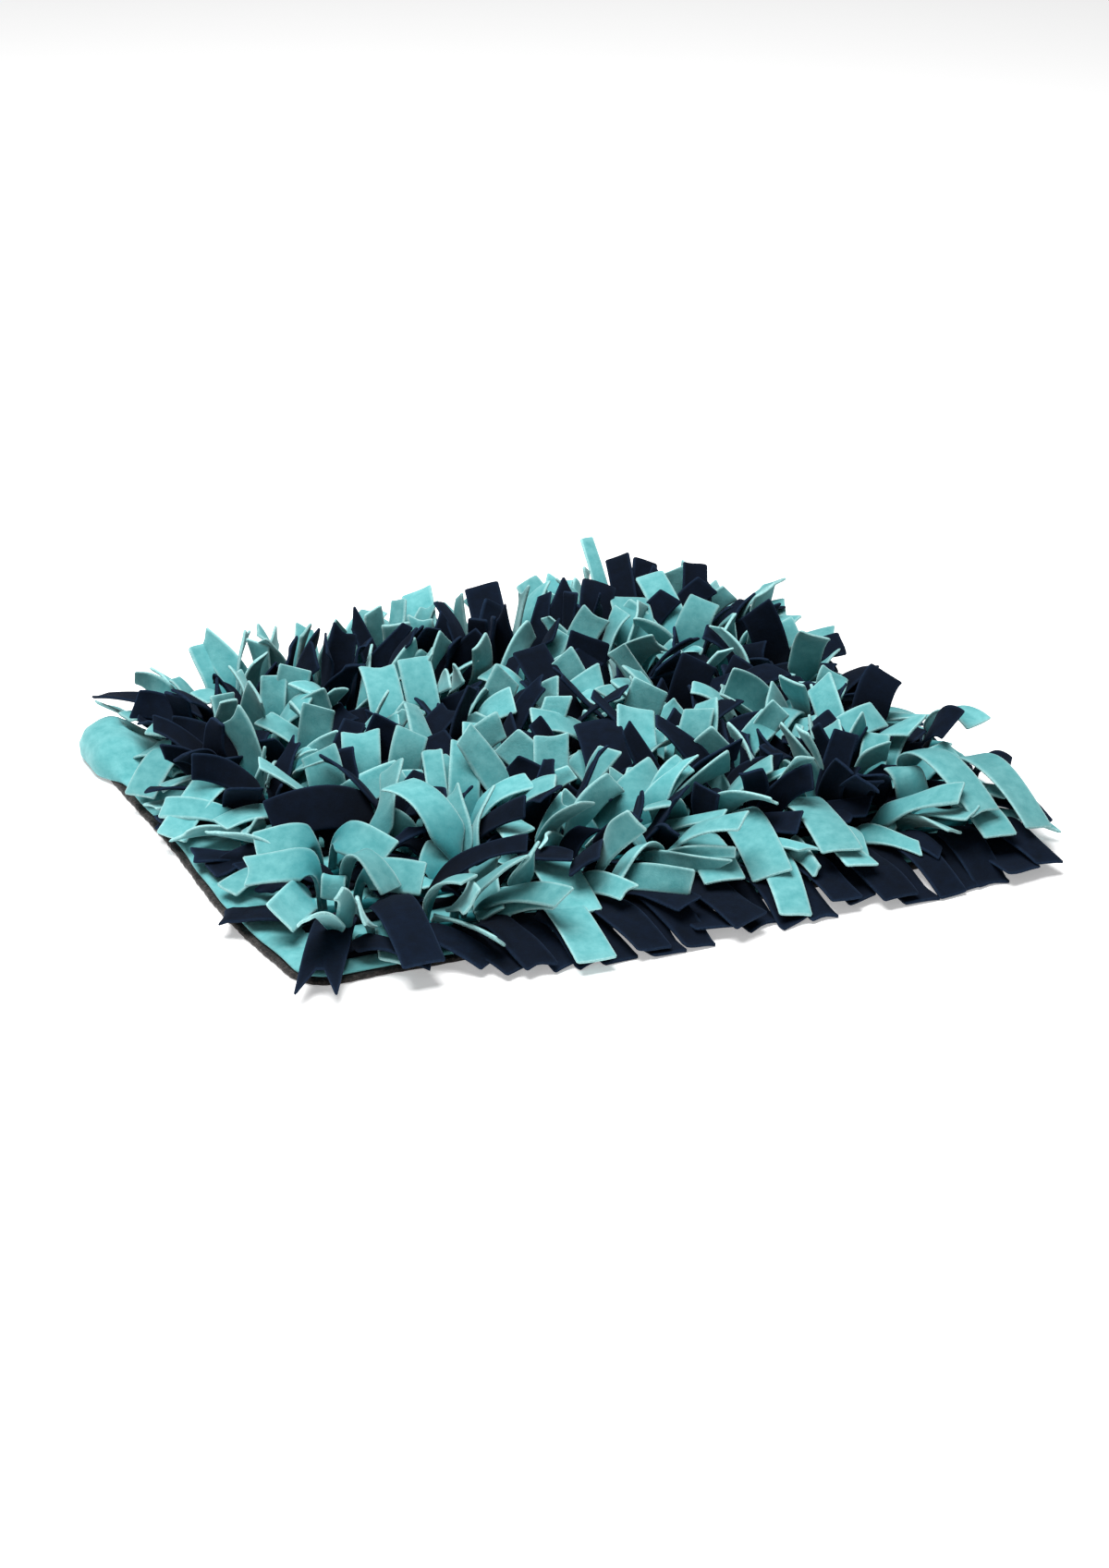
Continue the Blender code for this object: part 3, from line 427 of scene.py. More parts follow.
BACK_FADE = (60 * MM, 90 * MM)  # where the back begins, and over what depth
LEFT_OVERHANG, RIGHT_OVERHANG = 3 * MM, 9 * MM  # most that a strip passes each edge
BACK_OVERHANG, FRONT_OVERHANG = 16 * MM, 34 * MM
BARE_CORNER, BARE_FADE = 24 * MM, 50 * MM  # strips stay this short of the back left corner
GROUND_FADE, GROUND_SLOPE = 15 * MM, 19 * MM  # from the mat's edge out to the floor

# The front row, a skirt in two layers that lies on the floor before the mat
SKIRT_LINE = -150 * MM  # rows in front of this are the skirt
SKIRT_STRIPS = 26
SKIRT_FIRST, SKIRT_LAST = -196 * MM, 192 * MM
SKIRT_REACH, SKIRT_WIDTH = (30 * MM, 44 * MM), (1, 1.25)
SKIRT_SHORT, SKIRT_FADE = 7 * MM, 95 * MM  # its reach at its left end, and how far it grows
SKIRT_SWEEP = (13 * MM, 40 * MM)  # how far its tips lie to the right, and so at that end
SKIRT_LOOSE = 3 * MM  # most that a tip lies off its even place
SKIRT_LAYERS = (0.6, 2.0)  # height of a tip in each layer, in thicknesses
SKIRT_ARCH = (3 * MM, 12 * MM)  # height of its arch over its root in each layer
SKIRT_LIFT = 0.05 * MM  # how much higher each new try is

# The space kept round each strip, and what changes from one try to the next
SPACE = 0.25 * MM
TRIES = 160
TRY_TURN, TRY_UPRIGHT, TRY_SHORTER = 1.2, 0.6, 0.25
MOVE_TIP, MOVE_CREST, MOVE_TURN = 0.07 * MM, (-0.1 * MM, 0.25 * MM), 0.15
SEED = 4


def strip(row, at, tip, crest, **turned):
    """A strip with a place of its own, in millimetres and degrees: its row, the root's place
    along it, its tip and the height it arches towards. Then, where they are unusual: facing in
    plan, roll, twist, share of the full width, knee, sharpness of its bend, and depth of the
    notch that forks its end."""
    return dict(row=row, at=at, tip=tip, crest=crest, **turned)


def upright(row, at, tip, crest, **turned):
    """One that stands in the pile and turns its face to the front left."""
    return strip(row, at, tip, crest, facing=-25, **turned)


PLACED = (
    strip(1, -71, (-73, -224, 6), 20, wide=1.2),
    strip(1, -5, (-23, -107, 22), 50, roll=20, wide=0.8),
    strip(1, 2, (-38, -164, 18), 34, twist=20, wide=0.8),
    strip(1, 65, (50, -215, 6), 24),
    strip(1, 101, (98, -194, 8), 24),
    upright(1, 163, (162, -127, 42), 40, twist=20),
    strip(1, 190, (188, -195, 8), 26),
    strip(2, -195, (-238, -92, 6), 20),
    strip(2, -182, (-221, -189, 7), 24, wide=1.2, notch=24),
    strip(2, -158, (-166, -199, 7), 26, wide=1.25),
    strip(2, 212, (229, -134, 28), 44, wide=1.2),
    strip(2, 230, (221, -185, 11), 26, wide=0.8),
    strip(3, -192, (-224, -131, 18), 25, roll=-38, wide=1.1, knee=0.05, bend=6),
    strip(3, -186, (-223, -87, 25), 29, roll=-38, wide=1.05, knee=0.05, bend=6),
    strip(3, -174, (-148, -144, 19), 36, roll=20, wide=0.9),
    strip(3, -166, (-136, -131, 27), 31, roll=38, wide=1.05, knee=0.05, bend=6),
    strip(3, -103, (-118, -56, 46), 62, wide=1.25),
    strip(3, -88, (-111, -163, 8), 34, roll=20, twist=30),
    strip(3, -61, (-62, -178, 12), 34, roll=10, wide=1.3),
    strip(3, 32, (25, -183, 12), 34, wide=1.2),
    strip(3, 61, (50, -188, 12), 36, wide=1.2),
    strip(3, 101, (92, -191, 18), 40, wide=1.25),
    strip(3, 171, (182, -184, 24), 46, wide=1.05),
    strip(3, 207, (207, -195, 14), 34, wide=1.05),
    upright(4, 7, (22, -17, 54), 38, wide=1.4),
    strip(4, 200, (216, -109, 44), 50, twist=20, wide=1.1),
    strip(5, -167, (-203, -50, 28), 31, roll=-38, wide=1.05, knee=0.05, bend=6),
    strip(5, -160, (-143, -93, 30), 34, roll=38, wide=1.1, knee=0.05, bend=6),
    upright(5, -93, (-82, -18, 48), 34, wide=0.6),
    strip(5, -79, (-42, -63, 46), 36),
    upright(5, -24, (-15, -33, 50), 36, twist=10, wide=1.05),
    upright(5, 30, (44, -18, 54), 38, twist=30, wide=1.2),
    upright(5, 58, (79, -67, 50), 36),
    strip(5, 174, (188, -100, 50), 40, twist=20),
    strip(5, 218, (227, -102, 42), 60),
    strip(6, -176, (-226, -36, 12), 24, wide=0.9),
    strip(6, -120, (-184, -25, 28), 44, roll=-50, wide=1.35),
    upright(6, 191, (209, -25, 52), 44, wide=1.15),
    strip(7, -158, (-208, -7, 25), 34),
    strip(7, -145, (-178, 9, 44), 40, twist=10),
    upright(7, -144, (-142, 8, 52), 36, wide=1.1),
    upright(7, -120, (-111, 18, 55), 40, wide=1.15),
    upright(7, -97, (-84, 4, 55), 40, roll=10),
    upright(7, -48, (-40, 8, 52), 38, roll=10),
    upright(7, 50, (66, 1, 57), 40, wide=1.15),
    strip(7, 160, (107, -57, 30), 56),
    upright(8, -104, (-93, 18, 57), 40),
    upright(8, 29, (22, 79, 56), 40, twist=10, wide=1.15),
    upright(8, 96, (109, 23, 58), 42, wide=1.15),
    strip(9, -175, (-234, 12, 10), 30),
    strip(9, -175, (-221, 55, 30), 34, roll=15, wide=0.8),
    upright(9, -130, (-122, 53, 58), 40),
    upright(9, -77, (-66, 98, 60), 42, twist=10, wide=1.1),
    upright(9, -54, (-47, 92, 60), 42),
    upright(9, 49, (40, 70, 54), 38, wide=0.9),
    upright(9, 190, (191, 32, 60), 44),
    upright(10, 52, (66, 82, 57), 42, twist=-10, wide=1.3),
    upright(10, 188, (177, 84, 58), 40, wide=1.1),
    strip(11, -188, (-228, 71, 14), 46),
    upright(11, -140, (-141, 127, 58), 40, roll=70, wide=0.9),
    upright(11, -133, (-129, 112, 55), 36, wide=0.8),
    upright(11, -124, (-114, 109, 60), 40),
    upright(11, 108, (119, 141, 57), 42, twist=10, wide=1.25),
    upright(11, 136, (155, 105, 62), 44, wide=1.1),
    upright(11, 140, (139, 154, 60), 42, wide=0.95),
    strip(11, 185, (190, 85, 64), 50, roll=20),
    strip(12, -178, (-200, 145, 30), 24, wide=1.2),
    upright(12, 26, (41, 187, 56), 42, twist=-12, wide=1.1),
    upright(12, 91, (104, 153, 60), 60, twist=20, wide=1.1),
    upright(12, 116, (131, 182, 64), 46, roll=-20, wide=0.8),
    upright(12, 128, (140, 174, 64), 46, twist=15, wide=0.9),
    upright(12, 159, (173, 159, 60), 46, roll=10, wide=0.8),
    strip(13, -132, (-161, 148, 36), 34),
    upright(13, -11, (-1, 192, 60), 44, roll=-15),
    upright(13, 116, (117, 202, 70), 50, twist=30, wide=0.5),
)


def ground(x, y):
    """Lowest height for a strip: over the bands on the mat, down to the floor outside it."""
    left_edge = MAT_LENGTH / 2 + edge_bow(x, y)
    outside = max(-x - left_edge, x - MAT_LENGTH / 2, abs(y) - MAT_DEPTH / 2)
    return (BAND_TOP + GAP) * smooth_step((GROUND_FADE - outside) / GROUND_SLOPE)


def narrowing(shape, share):
    """The strip's width at this share of its length, against its full width."""
    return 1 - (1 - shape["taper"]) * smooth_step((share - TAPER_FROM) / (1 - TAPER_FROM))


def arch_point(root, pull, tip, share, bend):
    """A point of the arch at this share; a bend above 1 turns it more sharply near its pull."""
    start, rest = (1 - share) ** 2, bend * share
    point = root * start + pull * (2 * rest * (1 - share)) + tip * (rest * share)
    return point / (start + bend * (1 - start))


def strip_rings(shape):
    """The strip's section at each station, as four corners, from its pinched root to its tip."""
    root, tip = shape["root"], shape["tip"]
    across = tip - root
    across.z = 0
    pull = root + across * shape["knee"]
    pull.z = shape["crest"]
    line = [arch_point(root, pull, tip, share, shape["bend"]) for share in STATIONS]
    level, rings = shape["level"], []
    for index, share in enumerate(STATIONS):
        before, after = line[max(index - 1, 0)], line[min(index + 1, len(line) - 1)]
        along = (after - before).normalized()
        side = (level - along * level.dot(along)).normalized()
        side = Quaternion(along, shape["roll"] + shape["twist"] * share) @ side
        normal = along.cross(side)
        half_width = side * (shape["width"] * WIDTH_SHARE[index] * narrowing(shape, share) / 2)
        half_thick = normal * (STRIP_THICK * shape.get("thick", 1) * THICK_SHARE[index] / 2)
        cut = along * (shape["skew"] if index == len(STATIONS) - 1 else 0)
        ring = [
            line[index] + half_width + half_thick + cut,
            line[index] - half_width + half_thick - cut,
            line[index] - half_width - half_thick - cut,
            line[index] + half_width - half_thick + cut,
        ]
        lift = max(ground(p.x, p.y) - p.z for p in ring)
        if index and lift > 0:
            ring = [p + Vector((0, 0, lift)) for p in ring]
        rings.append(ring)
    return rings


def least_twist(ring, model):
    """How many corners on the ring starts so that it twists least on its way to the model."""
    middle, centre = sum(model, Vector()) / 4, sum(ring, Vector()) / 4
    towards = [(p - middle).normalized() for p in model]
    own = [(p - centre).normalized() for p in ring]
    return max(range(4), key=lambda on: sum(own[(on + i) % 4].dot(towards[i]) for i in range(4)))


def tube_faces(ring_count):
    """The triangles of a strip's plain form, closed at its tip and open at its root."""
    faces = [f for a, b, c, d in quads(4, ring_count) for f in ((a, b, c), (a, c, d))]
    last = (ring_count - 1) * 4
    return faces + [(last, last + 1, last + 2), (last, last + 2, last + 3)]


def tree_of(rings, space):
    """The strip's surface for testing, with some space round it and its root end left free."""
    points = []
    for ring in rings:
        centre = sum(ring, Vector()) / 4
        points += [p + (p - centre).normalized() * space for p in ring]
    points[:4] = [p + Vector((0, 0, 0.5 * MM)) for p in points[:4]]
    return BVHTree.FromPolygons(points, tube_faces(len(rings)), all_triangles=True)


def bounds_of(rings):
    """The least and the most of x, y and z."""
    points = [p for ring in rings for p in ring]
    return [(min(p[k] for p in points), max(p[k] for p in points)) for k in range(3)]


class Pile:
    """The strips placed so far, each with its box to test new ones quickly."""

    def __init__(self, roots):
        self.placed = []
        self.stubs = {}
        for key, (x, y) in roots.items():
            foot = root_ring(x, y)
            stub = [foot, [p + Vector((0, 0, STUB_HEIGHT)) for p in foot]]
            self.stubs[key] = (bounds_of(stub), tree_of(stub, 0))

    def clear(self, rings, own, space=SPACE):
        box, tree = bounds_of(rings), tree_of(rings, space)
        standing = [stub for key, stub in self.stubs.items() if key != own]
        for other_box, other_tree in self.placed + standing:
            apart = any(a[1] + SPACE < b[0] or b[1] + SPACE < a[0] for a, b in zip(box, other_box))
            if not apart and tree.overlap(other_tree):
                return False
        return True

    def add(self, rings, own=None):
        self.placed.append((bounds_of(rings), tree_of(rings, SPACE)))
        self.stubs.pop(own, None)


def leaning(x, y):
    """Pull on a strip's direction at a place on the mat: out over the edges that are near."""
    front, back, right, left = [
        max(0, 1 - depth / LEAN_REACH)
        for depth in (
            y + MAT_DEPTH / 2, MAT_DEPTH / 2 - y, MAT_LENGTH / 2 - x, x + MAT_LENGTH / 2,
        )
    ]
    return Vector((
        LEAN_RIGHT * right - LEAN_LEFT * left + SWEEP * front,
        LEAN_BACK * back - LEAN_FRONT * front,
    ))


def pile_top(x, y):
    """Height of the pile at a place on the mat."""
    to_right = smooth_step((MAT_LENGTH / 2 + RIGHT_BEYOND - x) / RIGHT_FADE)
    to_corner = smooth_step(math.hypot(x + MAT_LENGTH / 2, y - MAT_DEPTH / 2) / CORNER_FADE)
    shares = [
        RIGHT_SHARE + (1 - RIGHT_SHARE) * to_right,
        CORNER_SHARE + (1 - CORNER_SHARE) * to_corner,
    ]
    for hollow in HOLLOWS:
        out = math.hypot(x - hollow["x"] * MM, y - hollow["y"] * MM) / (hollow["radius"] * MM)
        shares.append(hollow["share"] + (1 - hollow["share"]) * smooth_step(2 * out - 1))
    return PILE_TOP * min(shares)


def at_back(y):
    """How near to the back edge a place is, from 0 to 1."""
    return smooth_step((y - BACK_FADE[0]) / BACK_FADE[1])


def square_to(root, tip):
    """The level direction across a strip that leans from its root towards its tip."""
    lean = (tip - root).xy
    return Vector((-lean.y, lean.x, 0)).normalized() if lean.length > 1e-6 else Vector((1, 0, 0))


def skirt_growth(x):
    """How far the skirt has come to its full reach, from 0 at the front left corner to 1."""
    return smooth_step((x - SKIRT_FIRST) / SKIRT_FADE)


def skirt_strip(chance, root, along, attempt):
    """A strip of the front row: over the mat's edge and flat on the floor, every other one
    lying on its neighbours. along is its place in the row, from 0 to 1."""
    number = round(along * (SKIRT_STRIPS - 1))
    loose = SKIRT_LOOSE + SKIRT_LIFT * attempt
    x = SKIRT_FIRST + (SKIRT_LAST - SKIRT_FIRST) * along + chance.uniform(-1, 1) * loose
    full = skirt_growth(x)
    nearer, further = SKIRT_SWEEP
    over = number % 2
    tip = Vector((
        x + further + (nearer - further) * full,
        -MAT_DEPTH / 2 - SKIRT_SHORT - (chance.uniform(*SKIRT_REACH) - SKIRT_SHORT) * full,
        STRIP_THICK * SKIRT_LAYERS[over] + SKIRT_LIFT * attempt,
    ))
    crest = root.z + SKIRT_ARCH[over] + chance.uniform(-1, 1) * MM + 2 * SKIRT_LIFT * attempt
    width = STRIP_WIDTH * chance.uniform(*SKIRT_WIDTH)
    return dict(
        root=root, tip=tip, crest=crest, knee=KNEE, bend=1, level=square_to(root, tip), roll=0,
        twist=0, width=width, skew=chance.uniform(-1, 1) * CUT_SKEW,
        taper=chance.uniform(*SQUARE_END),
    )


def chance_strip(chance, root, heading, attempt):
    """A strip that heads its own way out of the row and leans with the mat's edge."""
    loose = HEADING_LOOSE + TRY_TURN * attempt
    angle = math.radians(heading + chance.uniform(-loose, loose))
    fan = Vector((math.cos(angle), math.sin(angle))) * chance.uniform(*FAN)
    fan *= 1 - BACK_CALM * at_back(root.y)
    lean = leaning(root.x, root.y)
    fan *= 1 - LEAN_CALMS * min(lean.length, 1)
    pull = lean + fan * (1 - TRY_UPRIGHT * attempt / TRIES)
    out = min(pull.length, LOWEST)
    heading = pull.normalized()
    length = chance.uniform(*STRIP_LENGTH) * (1 - TRY_SHORTER * attempt / TRIES)
    rise = math.radians(90 * (1 - out))
    reach, height = length * math.cos(rise), length * math.sin(rise)
    tip = root + Vector((heading.x * reach, heading.y * reach, height))
    bare = BARE_CORNER * smooth_step((root.y - BARE_FADE) / BARE_FADE)
    tip.x = max(tip.x, bare - MAT_LENGTH / 2 - LEFT_OVERHANG)
    past = max(tip.x - MAT_LENGTH / 2, abs(tip.y) - MAT_DEPTH / 2, 0)
    tip.z -= past * chance.uniform(*SAG)
    tip.x = min(tip.x, MAT_LENGTH / 2 + RIGHT_OVERHANG)
    tip.y = min(tip.y, MAT_DEPTH / 2 + BACK_OVERHANG)
    tip.y = max(tip.y, -MAT_DEPTH / 2 - FRONT_OVERHANG * skirt_growth(tip.x))
    least, most = [a + (b - a) * at_back(root.y) for a, b in zip(FILL_HEIGHT, BACK_FILL)]
    tip.z = min(tip.z, pile_top(tip.x, tip.y) * chance.uniform(least, most))
    tip.z = max(tip.z, ground(tip.x, tip.y) + STRIP_THICK / 2)
    crest = root.z + max(tip.z - root.z, 0) * ARCH_START + length * chance.uniform(*ARCH_RISE)
    raised = smooth_step((tip.z - ground(tip.x, tip.y)) / TURN_HEIGHT)
    roll = math.radians(chance.gauss(0, ROLL_SPREAD)) * raised
    twist = math.radians(chance.gauss(0, TWIST_SPREAD)) * raised
    width = STRIP_WIDTH * chance.uniform(*WIDTH_SPREAD)
    pointed = chance.random() < POINTED
    return dict(
        root=root, tip=tip, crest=crest, knee=KNEE, bend=1, level=square_to(root, tip),
        roll=roll, twist=twist, width=width,
        skew=chance.uniform(-1, 1) * CUT_SKEW * (2 if pointed else 1),
        taper=chance.uniform(*(POINTED_END if pointed else SQUARE_END)),
    )


def placed_strip(chance, root, shape, attempt):
    """A strip from the table, moved a little on each new attempt until it is clear."""
    shift = Vector([chance.uniform(-1, 1) * MOVE_TIP * attempt for _ in range(3)])
    tip = Vector(shape["tip"]) * MM + shift
    crest = shape["crest"] * MM + chance.uniform(*MOVE_CREST) * attempt
    roll = math.radians(shape.get("roll", 0) + chance.uniform(-1, 1) * MOVE_TURN * attempt)
    twist = math.radians(shape.get("twist", 0) + chance.uniform(-1, 1) * MOVE_TURN * attempt)
    skew = chance.uniform(-1, 1) * MM
    level = square_to(root, tip)
    if "facing" in shape:
        facing = math.radians(shape["facing"])
        level = Vector((math.cos(facing), math.sin(facing), 0))
    # The strips that have no notch here may get one by chance.
    notch = dict(notch=shape["notch"] * MM) if "notch" in shape else {}
    return dict(
        root=root, tip=tip, crest=crest, knee=shape.get("knee", KNEE),
        bend=shape.get("bend", 1), level=level, roll=roll, twist=twist,
        width=STRIP_WIDTH * shape.get("wide", 1), skew=skew, taper=1, **notch,
    )


def root_ring(x, y):
    """The pinched root of a strip, as four corners on top of its band."""
    half_x, half_y = ROOT_LENGTH / 2, BAND_WIDTH / 2
    corners = ((-half_x, -half_y), (half_x, -half_y), (half_x, half_y), (-half_x, half_y))
    return [Vector((x + dx, y + dy, BAND_TOP)) for dx, dy in corners]


def root_places(chance, row):
    """The roots along a row's band, evenly apart but for a little play. Neighbours head apart."""
    places = []
    for number in range(row["strips"]):
        along = number / (row["strips"] - 1)
        x = (row["first"] + (row["last"] - row["first"]) * along) * MM
        x += chance.uniform(-1, 1) * ROOT_PLAY
        heading = HEADING_STEP * number
        places.append(dict(x=x, along=along, heading=heading, table=None, shape=None))
    return places


def facing_up(rings):
    """Whether the first section of a strip after its root goes round the way the root does."""
    centre, following = sum(rings[0], Vector()) / 4, sum(rings[1], Vector()) / 4
    turn = (rings[1][0] - following).cross(rings[1][1] - following)
    return turn.dot(following - centre) > 0


def place_strip(chance, pile, y, place):
    """Tries shapes for the strip on this root until one is clear of all that is placed."""
    root = Vector((place["x"], y, BAND_TOP))
    for attempt in range(TRIES):
        if place["table"]:
            shape = placed_strip(chance, root, place["table"], attempt)
        elif y < SKIRT_LINE:
            shape = skirt_strip(chance, root, place["along"], attempt)
        else:
            shape = chance_strip(chance, root, place["heading"], attempt)
        rings = strip_rings(shape)
        rings[0] = root_ring(root.x, root.y)
        if not facing_up(rings):
            rings[1:] = [list(reversed(ring)) for ring in rings[1:]]
        turn = least_twist(rings[1], rings[0])
        rings[1:] = [ring[turn:] + ring[:turn] for ring in rings[1:]]
        if pile.clear(rings, place["key"]):
            pile.add(rings, place["key"])
            place["shape"] = shape
            return


def turn_of(y, place):
    """When a strip is placed: the skirt first, its upper layer after its lower one."""
    if y < SKIRT_LINE:
        return round(place["along"] * (SKIRT_STRIPS - 1)) % 2
    return 2 if place["table"] else 3


def place_all(chance):
    """Places the skirt, the strips from the table, then the others from the rim inwards, so that
    later ones lie over earlier ones. Returns each row's places and the pile."""
    rows = [root_places(chance, row) for row in ROWS]
    for table in PLACED:
        free = [place for place in rows[table["row"]] if not place["table"]]
        nearest = min(free, key=lambda place: abs(place["x"] - table["at"] * MM))
        nearest.update(table=table, x=table["at"] * MM)
    for places in rows:
        places.sort(key=lambda place: place["x"])
        for before, place in zip(places, places[1:]):
            place["x"] = max(place["x"], before["x"] + ROOT_APART)
    waiting, roots = [], {}
    for row, places in zip(ROWS, rows):
        y = row["y"] * MM
        for place in places:
            place["key"] = len(roots)
            roots[place["key"]] = (place["x"], y)
            waiting.append((turn_of(y, place), -leaning(place["x"], y).length, y, place))
    waiting.sort(key=lambda entry: entry[:3])
    pile = Pile(roots)
    for _, _, y, place in waiting:
        place_strip(chance, pile, y, place)
    return rows, pile


# ------------------------------
# Strips in between: each bunch holds more of them, tucked in where there is room. Four have a
# place of their own: the knot of the bow near the front left corner, and a loop behind the
# corner that is turned over.

TUCKED = (
    upright(3, -172, (-181, -108, 36), 38, wide=0.8),
    strip(3, -177, (-187, -121, 22), 44, wide=0.7),
    strip(12, -177, (-221, 181, 21), 34),
    strip(12, -170, (-210, 189, 24), 40, wide=0.9),
)
BOW = (-180 * MM, -110 * MM)
BOW_CLEAR = 34 * MM  # nothing else is tucked in this near to the bow
EXTRA_EACH, EXTRA_TRIES = 3, 40
EXTRA_ROOT = (7, 2)  # in mm: how far from a root they start, along the row and across
EXTRA_SKIRT = ((-16, 12), (0, 20), (2.6, 11))  # and how far their tips move in the skirt
SLIM = dict(width=0.7, thick=0.5)  # shares of a strip that stay clear of the others
EXTRA_SEED = 9


def tuck_in(pile, shape):
    """Adds the strip to the pile if its slimmer form, past its root, is clear of the others."""
    slim = dict(shape, width=shape["width"] * SLIM["width"], thick=SLIM["thick"])
    rings = strip_rings(slim)[1:]
    if not pile.clear(rings, None, 0):
        return False
    pile.add(rings)
    return True


def extra_strip(chance, place, y, attempt):
    """A strip that starts near a root of its row. In the skirt it lies over the others."""
    dx, dy = [chance.uniform(-most, most) * MM for most in EXTRA_ROOT]
    root = Vector((place["x"] + dx, y + dy, BAND_TOP))
    if y > SKIRT_LINE:
        return chance_strip(chance, root, chance.uniform(0, 360), attempt)
    shape = skirt_strip(chance, root, place["along"], attempt)
    shape["tip"] += Vector([chance.uniform(*span) for span in EXTRA_SKIRT]) * MM
    shape["taper"] = chance.uniform(POINTED_END[0], SQUARE_END[1])
    return shape


def add_between(chance, rows, pile):
    """The shapes in each row, with more strips wherever there is still room for one."""
    found = [[place["shape"] for place in places if place["shape"]] for places in rows]
    for table in TUCKED:
        root = Vector((table["at"] * MM, ROWS[table["row"]]["y"] * MM, BAND_TOP))
        for attempt in range(EXTRA_TRIES):
            shape = placed_strip(chance, root, table, attempt)
            if tuck_in(pile, shape):
                found[table["row"]].append(shape)
                break
    spots = []
    for number, (row, places) in enumerate(zip(ROWS, rows)):
        y = row["y"] * MM
        for place in places:
            if math.hypot(place["x"] - BOW[0], y - BOW[1]) >= BOW_CLEAR:
                spots += [(-leaning(place["x"], y).length, number, place)] * EXTRA_EACH
    spots.sort(key=lambda entry: entry[:2])
    for _, number, place in spots:
        for attempt in range(EXTRA_TRIES):
            shape = extra_strip(chance, place, ROWS[number]["y"] * MM, attempt)
            if tuck_in(pile, shape):
                found[number].append(shape)
                break
    return found


rows, pile = place_all(random.Random(SEED))
shapes = add_between(random.Random(EXTRA_SEED), rows, pile)


# ------------------------------
# Rows: each is a narrow fleece band, puckered by its stitches, and the strips sewn to it. The
# cloth is 2 mm thick, cupped where it is pinched, and it curls and flutters towards its end.

RINGS = 26  # along a strip: the last two round off its cut end
END_RINGS = (0.8 * MM, 0.25 * MM)  # how far before its end the two before the last lie
END_THICK = (0.85, 0.5)  # share of its thickness in the last two
ACROSS = (-1, -0.93, -0.8, -0.5, -0.2, 0.2, 0.5, 0.8, 0.93, 1)
SIDE_THICK, SIDE_ROUND = 0.45, 0.3 * MM  # of its cut sides, and how far they stand out
CORNER_ROUND = 0.7 * MM
CLOTH_THICK = 0.92 * STRIP_THICK
PINCH_END, PINCH_SPREAD = 0.08, 0.28  # shares of its length over which it spreads
PINCHED_WIDTH, PINCHED_THICK = 0.3, 0.7  # at its root: width left, and thickness added
CUP_TIP, CUP_ROOT, CUP_FADES, CUP_TURN = (0.05, 0.65), 2.4, 0.3, 2.2  # in radians
CURL, CURL_FROM, CURL_GROWTH = 7, 0.45, 3.3  # in mm: its end rolls up or down
BOW_DEPTH, BOW_TURN = 0.5 * MM, 7  # and all of it bows a little
FLUTTER, FLUTTER_TURNS = (0.3, 1.4), (0.8, 1.6)  # in mm at its sides, and waves along it
FULL_TURN = 6.28
NOTCH, NOTCHED, NOTCH_MIDDLE = (1.5, 4), 0.1, 0.45  # in mm, and the share that have one
END_FROM, END_SPREAD = 0.8, 0.2  # where a notch or a skew cut begins to show
EDGE_HIGHLIGHT_REACH = 1.1 * MM  # how far in from a cut its painted highlight reaches
ROOT_SHADE, SHADE_END = 0.9, 0.8  # painted shade: how deep its colour is made at the root, and where that ends
OVER_GROUND = 0.2 * MM


def cupped(u, cup, width):
    """Where a place across a strip lies when it is bent to an arc: (sideways, up)."""
    half = cup / 2 if abs(cup) > 1e-3 else 1e-3
    up = (1 - math.cos(u * half)) / half * width / 2
    middle = math.sin(half) * math.tan(half / 2) / half * width / 4
    return math.sin(u * half) / half * width / 2, up - middle


